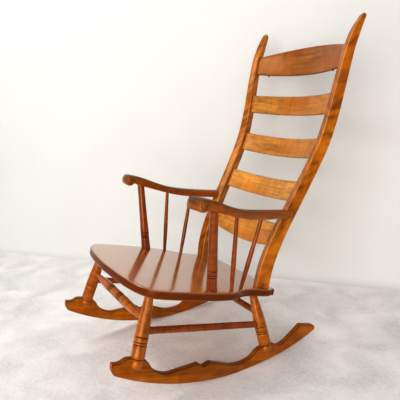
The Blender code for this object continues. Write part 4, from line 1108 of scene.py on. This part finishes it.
def steel_finish(name, colour):
    """Make darkened steel with a drawn grain and paler patches."""
    material, tree, shader = new_finish(name)
    grain = point_value(tree, "grain", "Vector")
    drawn = stretched_noise(tree, grain, *STEEL_GRAIN)
    patches = stretched_noise(tree, grain, *STEEL_PATCHES)
    tree.links.new(toned(tree, patches, colour, STEEL_STOPS), shader.inputs["Base Color"])
    tree.links.new(remapped(tree, drawn, *STEEL_ROUGHNESS), shader.inputs["Roughness"])
    add_relief(tree, shader, drawn, *STEEL_RELIEF)
    shader.inputs["Metallic"].default_value = 1.0
    return material


def dull_finish(name, colour, pattern, stops, roughness):
    """Start a dull finish of the stage, whose colour varies in patches, and return it with its parts."""
    material, tree, shader = new_finish(name)
    place = add_node(tree, "ShaderNodeTexCoord").outputs["Object"]
    tone = toned(tree, stretched_noise(tree, place, *pattern), colour, stops)
    shader.inputs["Roughness"].default_value = roughness
    shader.inputs["Specular IOR Level"].default_value = STAGE_SPECULAR
    return material, tree, shader, place, tone


def floor_finish(name, colour):
    """Make a pale floor with soft patches and a short pile."""
    material, tree, shader, place, tone = dull_finish(name, colour, FLOOR_PATCHES, FLOOR_STOPS,
                                                      FLOOR_ROUGHNESS)
    pile = stretched_noise(tree, place, *FLOOR_PILE)
    tone = mixed(tree, FLOOR_PILE_SHARE, tone, remapped(tree, pile, *FLOOR_PILE_SPREAD), "OVERLAY")
    tree.links.new(tone, shader.inputs["Base Color"])
    add_relief(tree, shader, pile, *FLOOR_RELIEF)
    return material


def wall_finish(name, colour):
    """Make a pale painted wall that is clear from behind."""
    material, tree, shader, _, tone = dull_finish(name, colour, WALL_PATCHES, WALL_STOPS, WALL_ROUGHNESS)
    tree.links.new(tone, shader.inputs["Base Color"])
    clear = add_node(tree, "ShaderNodeBsdfTransparent")
    sides = add_node(tree, "ShaderNodeMixShader")
    behind = add_node(tree, "ShaderNodeNewGeometry").outputs["Backfacing"]
    tree.links.new(behind, sides.inputs["Fac"])
    tree.links.new(shader.outputs["BSDF"], sides.inputs[1])
    tree.links.new(clear.outputs["BSDF"], sides.inputs[2])
    tree.links.new(sides.outputs["Shader"], tree.nodes["Material Output"].inputs["Surface"])
    return material


def turned_finish(context, name, colour):
    """Return a finish of the turned pieces, made once under its name."""
    found = bpy.data.materials.get(name)
    if found is None:
        colour = tuple(colour)
        gloss = TURNED_GLOSS * context.scene.chair_finish.frame_gloss
        found = maple_finish(name, colour, tinted(colour, 0.5), gloss, figure=0.22, roughness=(0.18, 0.28))
    return found


def leg_finish(context):
    """Return the finish of the legs and the front stretcher."""
    return turned_finish(context, "leg maple", context.scene.chair_finish.leg_colour)


def dark_turned_finish(context):
    """Return the finish of the other turned pieces."""
    return turned_finish(context, "turned maple", context.scene.chair_finish.turned_colour)


def dark_steel(context):
    """Return the finish of the hooks and screws, made once."""
    found = bpy.data.materials.get("dark steel")
    return found or steel_finish("dark steel", tuple(context.scene.chair_finish.steel_colour))


# Operators


class MakeSeat(bpy.types.Operator):
    """Make the plank seat with its rounded edges"""

    bl_idname = "chair.make_seat"
    bl_label = "Make Seat"

    def execute(self, context):
        sizes = context.scene.chair_sizes
        finish = context.scene.chair_finish
        scale = SEAT_BOX[1].x / max(x for x, _ in SEAT_KNOTS)
        half = [(x * scale, y) for x, y in smooth_points(SEAT_KNOTS, SEAT_CURVE_STEPS)]
        outline = half + [(-x, y) for x, y in reversed(half[1:-1])]
        rounding = sizes.seat_rounding
        upper = []
        lower = []
        for turn in quarter_turns(SEAT_EDGE_STEPS):
            inset = [rounding * (math.cos(turn) - 1.0)] * len(outline)
            drop = rounding * (math.sin(turn) - 1.0)
            # The rounded edges and the side face are darkened as painted shade
            edge = SEAT_EDGE_SHADE * math.sin(2 * turn)
            grime_and_shade = SEAT_RIM_SHADE * math.cos(turn) ** 2
            shrunk = grown_outline(outline, inset)
            upper.append([((*point, drop), grime_and_shade, edge) for point in shrunk])
            lower.append([((*point, -sizes.seat_thickness - drop), grime_and_shade, edge) for point in shrunk])
        rim = upper[-1]
        for share in SEAT_TOP_SHARES:
            upper.append([((x * share, y * share, z), 0.0, 0.0) for (x, y, z), _, _ in rim])
        colour = tuple(finish.seat_colour)
        material = maple_finish("seat maple", colour, tinted(colour, 0.50), finish.seat_gloss, figure=0.14,
                                grime_and_shade_tint=tuple(finish.rim_shade_colour), roughness=(0.14, 0.22),
                                coat_roughness=0.11, specular=1.0, relief=0.03,
                                contrast=0.6, pore_share=0.10, coat_ior=2.1)
        make_piece(context, "seat", material, lower[::-1] + upper, Matrix.Identity(4), "y",
                   GRAIN_SEEDS["seat"])
        return {"FINISHED"}


class MakeRockers(bpy.types.Operator):
    """Make the two sawn rockers with their eased edges"""

    bl_idname = "chair.make_rockers"
    bl_label = "Make Rockers"

    def execute(self, context):
        sizes = context.scene.chair_sizes
        finish = context.scene.chair_finish
        colour = tuple(finish.rocker_colour)
        # The eased edges are darker: stain in the end grain and painted shade along them
        material = maple_finish("rocker maple", colour, tinted(colour, 0.30),
                                ROCKER_GLOSS * finish.frame_gloss, figure=0.16, ripple=(0.050, 0.030),
                                roughness=(0.34, 0.50), specular=0.3)
        outline = rocker_outline(sizes.recline)
        middle = (ROCKER_BOX[0].x + ROCKER_BOX[1].x) / 2
        half = sizes.rocker_thickness / 2
        easing = sizes.rocker_easing
        steps = []
        for turn in quarter_turns(ROCKER_EDGE_STEPS):
            steps.append((half - easing * (1 - math.cos(turn)), easing * (1 - math.sin(turn)),
                          math.sin(2 * turn)))
        stations = steps + [(-offset, inset, edge) for offset, inset, edge in reversed(steps)]
        grown = grown_outline(outline, [easing] * len(outline))
        # Darken the upward-facing parts of the outline
        top_darkening = [ROCKER_TOP_DARKENING * max(0.0, (out - Vector(point)).normalized().y)
                  for point, out in zip(outline, grown)]
        rings = []
        for offset, inset, edge in stations:
            shrunk = grown_outline(outline, [-inset] * len(outline))
            rings.append([((middle + offset, y, z), grime_and_shade * (1 - inset / easing), edge)
                          for (y, z), grime_and_shade in zip(shrunk, top_darkening)])
        for number, (label, side) in enumerate(SIDES):
            make_piece(context, "rocker_" + label, material, rings, mirrored(side), "y",
                       GRAIN_SEEDS["rocker"] + number)
        return {"FINISHED"}


class MakeLegs(bpy.types.Operator):
    """Make the four turned legs with their rings and ball feet"""

    bl_idname = "chair.make_legs"
    bl_label = "Make Legs"

    def execute(self, context):
        sizes = context.scene.chair_sizes
        material = leg_finish(context)
        for label, side in SIDES:
            for end in ENDS:
                foot, top = leg_ends(end, side)
                profile = leg_profile((top - foot).length, sizes)
                make_turned(context, end + "_leg_" + label, (foot, top), profile, LEG_SIDES, material)
        return {"FINISHED"}


class MakeStretchers(bpy.types.Operator):
    """Make the ringed front stretcher and the three plain ones"""

    bl_idname = "chair.make_stretchers"
    bl_label = "Make Stretchers"

    def execute(self, context):
        sizes = context.scene.chair_sizes
        ends = {}
        for end, z in STRETCHER_HEIGHTS.items():
            ends[end + "_stretcher"] = (leg_point(end, 1, z), leg_point(end, -1, z))
        for label, side in SIDES:
            front_z, rear_z = SIDE_STRETCHER_HEIGHTS
            ends["side_stretcher_" + label] = (leg_point("front", side, front_z),
                                               leg_point("rear", side, rear_z))
        for node, (start, stop) in ends.items():
            start, stop = set_back(start, stop, STRETCHER_SETBACK)
            length = (stop - start).length
            if node == "front_stretcher":
                profile, material = front_stretcher_profile(length), leg_finish(context)
            else:
                profile, material = plain_stretcher_profile(length, sizes), dark_turned_finish(context)
            make_turned(context, node, (start, stop), profile, TURNED_SIDES, material)
        return {"FINISHED"}


class MakeBackPosts(bpy.types.Operator):
    """Make the two bent back posts with their rounded tips"""

    bl_idname = "chair.make_back_posts"
    bl_label = "Make Back Posts"

    def post_rings(self, sizes):
        """Return the left post's rings from inside the seat to the rounded tip."""
        shoulder = POST_SHAPE[-1][0] - POST_TIP_HEIGHT
        run = shoulder + POST_SINK
        count = math.ceil(run / POST_STEP)
        stations = [(-POST_SINK + run * index / count, 1.0) for index in range(count + 1)]
        for turn in quarter_turns(POST_TIP_STEPS)[1:-1]:
            stations.append((shoulder + POST_TIP_HEIGHT * math.sin(turn), math.cos(turn)))
        rings = []
        for z, share in stations:
            level = max(0.0, z)
            below = Vector((0.0, 0.0, min(0.0, z)))
            _, depth, width, _ = post_section(level)
            section = rounded_section(share * width / 2, share * depth / 2, sizes.post_easing)
            rings.append([(post_point(level, x, y) + below, 0.0, POST_WEAR_AND_HIGHLIGHT * edge)
                          for x, y, edge in section])
        return rings

    def screw_hole(self, side):
        """Return the body of the hole that takes the head of the arm's screw."""
        reach = SCREW_HEAD_RADIUS + SCREW_HOLE_CLEARANCE
        # The hole's walls carry full painted shade
        profile = ((-SCREW_HOLE_LEAD, reach, 0.0), (SCREW_HEAD_LENGTH / 2, reach, 1.0),
                   (SCREW_HEAD_LENGTH, SCREW_RADIUS, 1.0))
        hole = new_blank()
        rings = turned_rings(profile, SMALL_SIDES)
        add_skin(hole, rings, axis_matrix(*screw_ends(side)), "z", GRAIN_SEEDS["cut"])
        return hole

    def execute(self, context):
        finish = context.scene.chair_finish
        # The rounded corners are lighter as wear and painted highlights
        material = maple_finish("post maple", tuple(finish.post_colour), tuple(finish.worn_and_highlight_colour),
                                finish.frame_gloss, figure=0.40, ripple=(0.060, 0.020),
                                lean=math.radians(POST_FIGURE_LEAN), roughness=(0.20, 0.32))
        rings = self.post_rings(context.scene.chair_sizes)
        for number, (label, side) in enumerate(SIDES):
            make_piece(context, "back_post_" + label, material, rings, mirrored(side), "z",
                       GRAIN_SEEDS["post"] + number, cutter=self.screw_hole(side))
        return {"FINISHED"}


class MakeSlats(bpy.types.Operator):
    """Make the five bowed slats of the back"""

    bl_idname = "chair.make_slats"
    bl_label = "Make Slats"

    def slat_ring(self, name, across, beyond, sizes):
        """Return a slat's section at a place across it, or beyond the posts' inner faces."""
        low, high = slat_edges(name, across, sizes)
        back_bow, up_bow = slat_bow(name, across, sizes)
        half = sizes.slat_thickness / 2
        easing = sizes.slat_easing
        rows = []
        for turn in quarter_turns(SLAT_EDGE_STEPS):
            rows.append((low + easing * (1 - math.cos(turn)), half - easing * (1 - math.sin(turn)),
                         math.cos(turn)))
        middle_rows = []
        for row in range(1, SLAT_ROWS):
            middle_rows.append((low + easing + (high - low - 2 * easing) * row / SLAT_ROWS, half, 0.0))
        rows = rows + middle_rows + [(high + low - z, depth, edge) for z, depth, edge in reversed(rows)]
        run = beyond * math.copysign(1.0, across)
        front = []
        back = []
        for z, depth, edge in rows:
            inner = post_inner_point(z)
            turn = math.atan2(2 * SLAT_BOWS[name] * across, inner.x)
            along = Vector((math.cos(turn), -math.sin(turn), 0.0))
            through = Vector((math.sin(turn), math.cos(turn), 0.0)) * depth
            middle = Vector((across * inner.x, inner.y + back_bow, z + up_bow)) + along * run
            front.append((middle - through, 0.0, edge))
            back.append((middle + through, 0.0, edge))
        return front + back[::-1]

    def execute(self, context):
        sizes = context.scene.chair_sizes
        finish = context.scene.chair_finish
        places = [2 * step / SLAT_SPANS - 1 for step in range(SLAT_SPANS + 1)]
        for number, name in enumerate(SLAT_NAMES):
            # The slat's colour carries painted light, brighter towards the bottom
            colour = tinted(tuple(finish.slat_colour), *SLAT_TONES_AND_PAINTED_LIGHT[name])
            # The eased top and bottom edges are darker: stain in the end grain and painted shade
            material = maple_finish(name.replace("_", " ") + " maple", colour, tinted(colour, 0.18),
                                    SLAT_GLOSS * finish.frame_gloss, figure=0.12, ripple=(0.090, 0.020),
                                    streaks=0.44)
            rings = [self.slat_ring(name, -1, SLAT_TENON, sizes)]
            rings += [self.slat_ring(name, place, 0.0, sizes) for place in places]
            rings.append(self.slat_ring(name, 1, SLAT_TENON, sizes))
            make_piece(context, name, material, rings, Matrix.Identity(4), "x",
                       GRAIN_SEEDS["slat"] + number, "ladder")
        return {"FINISHED"}


class MakeArms(bpy.types.Operator):
    """Make the two shaped arms with a carved scroll at the front"""

    bl_idname = "chair.make_arms"
    bl_label = "Make Arms"

    def arm_stations(self, sizes):
        """Return (y, underside, top) from the rear end to the front of the scroll."""
        rear, neck = ARM_SHAPE[0][0], ARM_SHAPE[-1][0]
        count = math.ceil((rear - neck) / ARM_STEP)
        stations = []
        for index in range(count + 1):
            y = rear + (neck - rear) * index / count
            underside, top, _, _ = arm_section(y)
            stations.append((y, underside, top))
        top = stations[-1][2]
        radius = sizes.scroll_radius
        for degrees in range(SCROLL_START_DEGREES, SCROLL_END_DEGREES + 1, SCROLL_STEP_DEGREES):
            turn = math.radians(degrees)
            half = radius * math.cos(turn)
            upper = top if degrees < 0 else top - radius + half
            stations.append((SCROLL_CENTRE_Y - radius * math.sin(turn), top - radius - half, upper))
        return stations

    def arm_width(self, y, sizes):
        """Return the arm's inner and outer x at a place along it."""
        _, _, inner, outer = arm_section(max(y, ARM_SHAPE[-1][0]))
        forward = max(0.0, min(1.0, (SCROLL_CENTRE_Y - y) / sizes.scroll_radius))
        tuck = SCROLL_CORNER * forward ** SCROLL_CORNER_POWER
        return inner + tuck, outer - tuck

    def turned_y(self, x, y, sizes):
        """Return y with the front of the arm turned to face a little outwards."""
        inner, outer = self.arm_width(y, sizes)
        turned = (ARM_TURN_START_Y - y) / (ARM_TURN_START_Y - ARM_SHAPE[-1][0])
        slope = math.tan(ARM_TURN) * max(0.0, min(1.0, turned))
        return y + slope * (x - inner - ARM_TURN_PIVOT * (outer - inner))

    def arm_rings(self, sizes):
        """Return the arm's rings from its outer face to its inner face."""
        stations = self.arm_stations(sizes)
        outline = [(y, top) for y, _, top in stations]
        outline += [(y, underside) for y, underside, _ in reversed(stations)]
        count = len(stations)
        shares = [1.0] * count + [ARM_UNDERSIDE_SHARE] * count
        rounding = sizes.arm_rounding
        steps = []
        for turn in quarter_turns(ARM_EDGE_STEPS):
            steps.append((0.0, rounding * (1 - math.cos(turn)), 1 - math.sin(turn), math.sin(2 * turn)))
        steps += [(share, rounding, 0.0, 0.0) for share in ARM_TOP_SHARES]
        steps += [(1.0 - share, 2 * rounding - offset, inset, edge)
                  for share, offset, inset, edge in reversed(steps[:-1])]
        rings = []
        for share, offset, inset, edge in steps:
            crown = ARM_CROWN * (1 - (2 * share - 1) ** 2) if 0.0 < share < 1.0 else 0.0
            distances = [-rounding * inset * weight for weight in shares]
            shrunk = grown_outline(outline, distances)
            ring = []
            for index, (y, z) in enumerate(shrunk):
                inner, outer = self.arm_width(y, sizes)
                x = outer - offset - share * (outer - inner - 2 * rounding)
                above = index < count
                fade = max(0.0, min(1.0, (ARM_PATINA_END - y) / ARM_PATINA_FADE))
                grime_and_shade = ARM_PATINA * fade * (1 - inset) if above else 0.0
                point = (x, self.turned_y(x, y, sizes), z + (crown if above else 0.0))
                ring.append((point, grime_and_shade, ARM_WEAR_AND_HIGHLIGHT * edge))
            rings.append(ring)
        return rings

    def volute(self, sizes, face):
        """Return the centre line of the carved spiral on the outer or inner face of the scroll."""
        centre_z = ARM_SHAPE[-1][2] - sizes.scroll_radius
        points = []
        for degrees, share in smooth_points(VOLUTE_LINE, VOLUTE_CURVE_STEPS):
            turn = math.radians(degrees)
            y = SCROLL_CENTRE_Y - share * sizes.scroll_radius * math.sin(turn)
            z = centre_z + share * sizes.scroll_radius * math.cos(turn)
            x = self.arm_width(y, sizes)[face]
            points.append(Vector((x, self.turned_y(x, y, sizes), z)))
        return points

    def execute(self, context):
        sizes = context.scene.chair_sizes
        finish = context.scene.chair_finish
        colour = tuple(finish.arm_colour)
        # The rounded edges are lighter as wear and a painted highlight
        material = maple_finish("arm maple", colour, tinted(colour, 1.25), finish.frame_gloss, figure=0.20,
                                grime_and_shade_tint=tuple(finish.patina_colour), roughness=(0.30, 0.46),
                                coat_roughness=0.18)
        rings = self.arm_rings(sizes)
        for number, (label, side) in enumerate(SIDES):
            lines = new_blank()
            for face in (0, 1):
                # The carved lines leave full painted shade on the faces they cut
                add_tube(lines, self.volute(sizes, face), sizes.volute_radius, VOLUTE_SIDES,
                         mirrored(side), 1.0)
            make_piece(context, "arm_" + label, material, rings, mirrored(side), "y",
                       GRAIN_SEEDS["arm"] + number, "ladder", lines)
        return {"FINISHED"}


class MakeArmUprights(bpy.types.Operator):
    """Make the turned posts and spindles that carry the arms"""

    bl_idname = "chair.make_arm_uprights"
    bl_label = "Make Arm Uprights"

    def execute(self, context):
        sizes = context.scene.chair_sizes
        material = dark_turned_finish(context)
        for label, side in SIDES:
            ends = upright_ends(ARM_POST_PLACES, side)
            profile = arm_post_profile((ends[1] - ends[0]).length, sizes)
            make_turned(context, "arm_post_" + label, ends, profile, TURNED_SIDES, material)
            for place, places in SPINDLE_PLACES.items():
                ends = upright_ends(places, side)
                profile = spindle_profile((ends[1] - ends[0]).length, sizes)
                make_turned(context, place + "_spindle_" + label, ends, profile, SPINDLE_SIDES, material)
        return {"FINISHED"}


class MakeHooks(bpy.types.Operator):
    """Make the two small wire hooks under the crest slat"""

    bl_idname = "chair.make_hooks"
    bl_label = "Make Hooks"

    def execute(self, context):
        sizes = context.scene.chair_sizes
        material = dark_steel(context)
        for label, side in SIDES:
            root = hook_root(side, sizes)
            points = [root + Vector((0.0, 0.0, HOOK_SHANK)), root - Vector((0.0, 0.0, HOOK_DROP))]
            for step in range(1, HOOK_BEND_STEPS + 1):
                turn = math.radians(HOOK_BEND_DEGREES * step / HOOK_BEND_STEPS)
                forward = HOOK_BEND_RADIUS * (1 - math.cos(turn))
                drop = HOOK_DROP + HOOK_BEND_RADIUS * math.sin(turn)
                points.append(root - Vector((0.0, forward, drop)))
            mesh = new_blank()
            add_tube(mesh, points, sizes.hook_wire_radius, SMALL_SIDES, Matrix.Identity(4), 0.0)
            hook = make_object(context, "fine_crest_hook_" + label, mesh)
            finish_piece(hook, "crest_hook_" + label, material)
        return {"FINISHED"}


class MakeFasteners(bpy.types.Operator):
    """Make the slotted arm screws and the dowels through the feet"""

    bl_idname = "chair.make_fasteners"
    bl_label = "Make Fasteners"

    def make_screw(self, context, label, side, material):
        """Make a screw from a back post into the arm, with a slot across its head."""
        node = "arm_screw_" + label
        ends = screw_ends(side)
        profile = ((0.0, SCREW_HEAD_RADIUS, 0.0), (SCREW_HEAD_LENGTH / 2, SCREW_HEAD_RADIUS, 0.0),
                   (SCREW_HEAD_LENGTH, SCREW_RADIUS, 0.0), ((ends[1] - ends[0]).length, SCREW_RADIUS, 0.0))
        screw = make_turned(context, node, ends, profile, SMALL_SIDES, material)
        half = SCREW_SLOT_WIDTH / 2
        wide = 2 * SCREW_HEAD_RADIUS
        corners = ((-wide, -half), (wide, -half), (wide, half), (-wide, half))
        rings = [[((x, y, z), 1.0, 0.0) for x, y in corners] for z in (-SCREW_SLOT_DEPTH, SCREW_SLOT_DEPTH)]
        slot = new_blank()
        add_skin(slot, rings, axis_matrix(*ends), "z", GRAIN_SEEDS["cut"])
        carve(context, screw, slot)
        finish_piece(screw, node, material, SCREW_SHARP_DEGREES)

    def make_pin(self, context, place, label, side, material):
        """Make the dowel through a leg's foot and its rocker."""
        foot, top = leg_ends(place, side)
        middle = foot + (top - foot).normalized() * LEG_PIN_HEIGHT
        reach = Vector((PIN_LENGTH / 2, 0.0, 0.0))
        half = [(0.0, PIN_RADIUS - PIN_CHAMFER), (PIN_CHAMFER, PIN_RADIUS)]
        profile = [(z, radius, 0.0) for z, radius in both_ends(half, PIN_LENGTH)]
        make_turned(context, "rocker_pin_" + place + "_" + label, (middle - reach, middle + reach), profile,
                    SMALL_SIDES, material)

    def execute(self, context):
        steel = dark_steel(context)
        dowel = dowel_finish("dowel maple", tuple(context.scene.chair_finish.dowel_colour))
        for label, side in SIDES:
            self.make_screw(context, label, side, steel)
            for place in ENDS:
                self.make_pin(context, place, label, side, dowel)
        return {"FINISHED"}


class SetStage(bpy.types.Operator):
    """Lay the pale floor, stand the backdrop and set up the soft light and the camera"""

    bl_idname = "chair.set_stage"
    bl_label = "Set Stage"

    def lay(self, context, name, mesh, material):
        """Turn a mesh into a piece of the stage."""
        data = bpy.data.meshes.new(name)
        mesh.to_mesh(data)
        mesh.free()
        data.materials.append(material)
        made = bpy.data.objects.new(name, data)
        context.scene.collection.objects.link(made)

    def make_floor(self, context, settings):
        """Lay a round pale floor."""
        mesh = bmesh.new()
        bmesh.ops.create_circle(mesh, cap_ends=True, radius=settings.floor_radius, segments=FLOOR_SEGMENTS)
        self.lay(context, "floor", mesh, floor_finish("pale floor", tuple(settings.floor_colour)))

    def make_wall(self, context, settings):
        """Stand a pale backdrop that curves into the floor."""
        facing = Vector((math.cos(settings.wall_turn), math.sin(settings.wall_turn), 0.0))
        along = Vector((-facing.y, facing.x, 0.0))
        cove = settings.wall_cove
        profile = [(cove * (1 - math.sin(turn)), cove * (1 - math.cos(turn)))
                   for turn in quarter_turns(WALL_COVE_STEPS)]
        profile.append((0.0, WALL_HEIGHT))
        mesh = bmesh.new()
        rows = []
        for reach in (-WALL_REACH, WALL_REACH):
            rows.append([mesh.verts.new(facing * (out - settings.wall_distance) + along * reach
                                        + Vector((0.0, 0.0, z + FLOOR_GAP))) for out, z in profile])
        for index in range(len(profile) - 1):
            face = mesh.faces.new((rows[0][index], rows[1][index], rows[1][index + 1], rows[0][index + 1]))
            face.smooth = True
        self.lay(context, "wall", mesh, wall_finish("pale wall", tuple(settings.wall_colour)))

    def make_surroundings(self, context, settings):
        """Light the stage dimly from all round and show a brighter tone past it."""
        world = bpy.data.worlds.new("surroundings")
        world.use_nodes = True
        tree = world.node_tree
        colour = (*settings.sky_colour, 1.0)
        around = tree.nodes["Background"]
        around.inputs["Color"].default_value = colour
        around.inputs["Strength"].default_value = settings.sky_strength
        seen = add_node(tree, "ShaderNodeBackground", {"Color": colour, "Strength": settings.view_strength})
        choice = add_node(tree, "ShaderNodeMixShader")
        tree.links.new(add_node(tree, "ShaderNodeLightPath").outputs["Is Camera Ray"], choice.inputs["Fac"])
        tree.links.new(around.outputs["Background"], choice.inputs[1])
        tree.links.new(seen.outputs["Background"], choice.inputs[2])
        tree.links.new(choice.outputs["Shader"], tree.nodes["World Output"].inputs["Surface"])
        context.scene.world = world

    def make_light(self, context, name, place, aim, size, power):
        """Hang a broad soft light that faces a place and that the camera doesn't see."""
        data = bpy.data.lights.new(name, "AREA")
        data.shape = "RECTANGLE"
        data.size, data.size_y = size
        data.energy = power
        light = bpy.data.objects.new(name, data)
        light.visible_camera = False
        turn = (Vector(aim) - Vector(place)).to_track_quat("-Z", "Y")
        light.matrix_world = Matrix.Translation(place) @ turn.to_matrix().to_4x4()
        context.scene.collection.objects.link(light)

    def make_camera(self, context, settings):
        """Set up the camera at the settings' view."""
        data = bpy.data.cameras.new("camera")
        data.lens = settings.camera_lens
        data.sensor_fit = "HORIZONTAL"
        data.sensor_width = SENSOR_WIDTH
        camera = bpy.data.objects.new("camera", data)
        camera.location = settings.camera_place
        camera.rotation_euler = settings.camera_turn
        context.scene.collection.objects.link(camera)
        context.scene.camera = camera

    def execute(self, context):
        settings = context.scene.chair_stage
        self.make_floor(context, settings)
        self.make_wall(context, settings)
        self.make_surroundings(context, settings)
        self.make_light(context, "window", *WINDOW_LIGHT, settings.window_power)
        self.make_light(context, "upper", *UPPER_LIGHT, settings.upper_power)
        self.make_camera(context, settings)
        context.scene.view_settings.view_transform = "Standard"
        context.scene.view_settings.gamma = settings.view_gamma
        return {"FINISHED"}


class ChairPanel(bpy.types.Panel):
    """The chair's pieces and settings in the 3D view's sidebar"""

    bl_idname = "VIEW3D_PT_rocking_chair"
    bl_label = "Rocking Chair"
    bl_space_type = "VIEW_3D"
    bl_region_type = "UI"
    bl_category = "Chair"

    def draw(self, context):
        for maker in MAKERS:
            self.layout.operator(maker.bl_idname)
        for group in ("chair_sizes", "chair_finish", "chair_stage"):
            settings = getattr(context.scene, group)
            box = self.layout.box()
            for name in settings.__annotations__:
                box.prop(settings, name)


MAKERS = (
    MakeSeat, MakeRockers, MakeLegs, MakeStretchers, MakeBackPosts, MakeSlats, MakeArms, MakeArmUprights,
    MakeHooks, MakeFasteners, SetStage,
)
CLASSES = (ChairSizes, ChairFinish, ChairStage, *MAKERS, ChairPanel)


def register():
    """Add the chair's classes and settings to Blender."""
    for kind in CLASSES:
        bpy.utils.register_class(kind)
    bpy.types.Scene.chair_sizes = PointerProperty(type=ChairSizes)
    bpy.types.Scene.chair_finish = PointerProperty(type=ChairFinish)
    bpy.types.Scene.chair_stage = PointerProperty(type=ChairStage)


def unregister():
    """Take the chair's classes and settings out of Blender."""
    del bpy.types.Scene.chair_stage
    del bpy.types.Scene.chair_finish
    del bpy.types.Scene.chair_sizes
    for kind in reversed(CLASSES):
        bpy.utils.unregister_class(kind)


def main():
    """Build the whole chair on its stage."""
    register()
    bpy.ops.chair.make_seat()
    bpy.ops.chair.make_rockers()
    bpy.ops.chair.make_legs()
    bpy.ops.chair.make_stretchers()
    bpy.ops.chair.make_back_posts()
    bpy.ops.chair.make_slats()
    bpy.ops.chair.make_arms()
    bpy.ops.chair.make_arm_uprights()
    bpy.ops.chair.make_hooks()
    bpy.ops.chair.make_fasteners()
    bpy.ops.chair.set_stage()


if __name__ == "__main__":
    main()
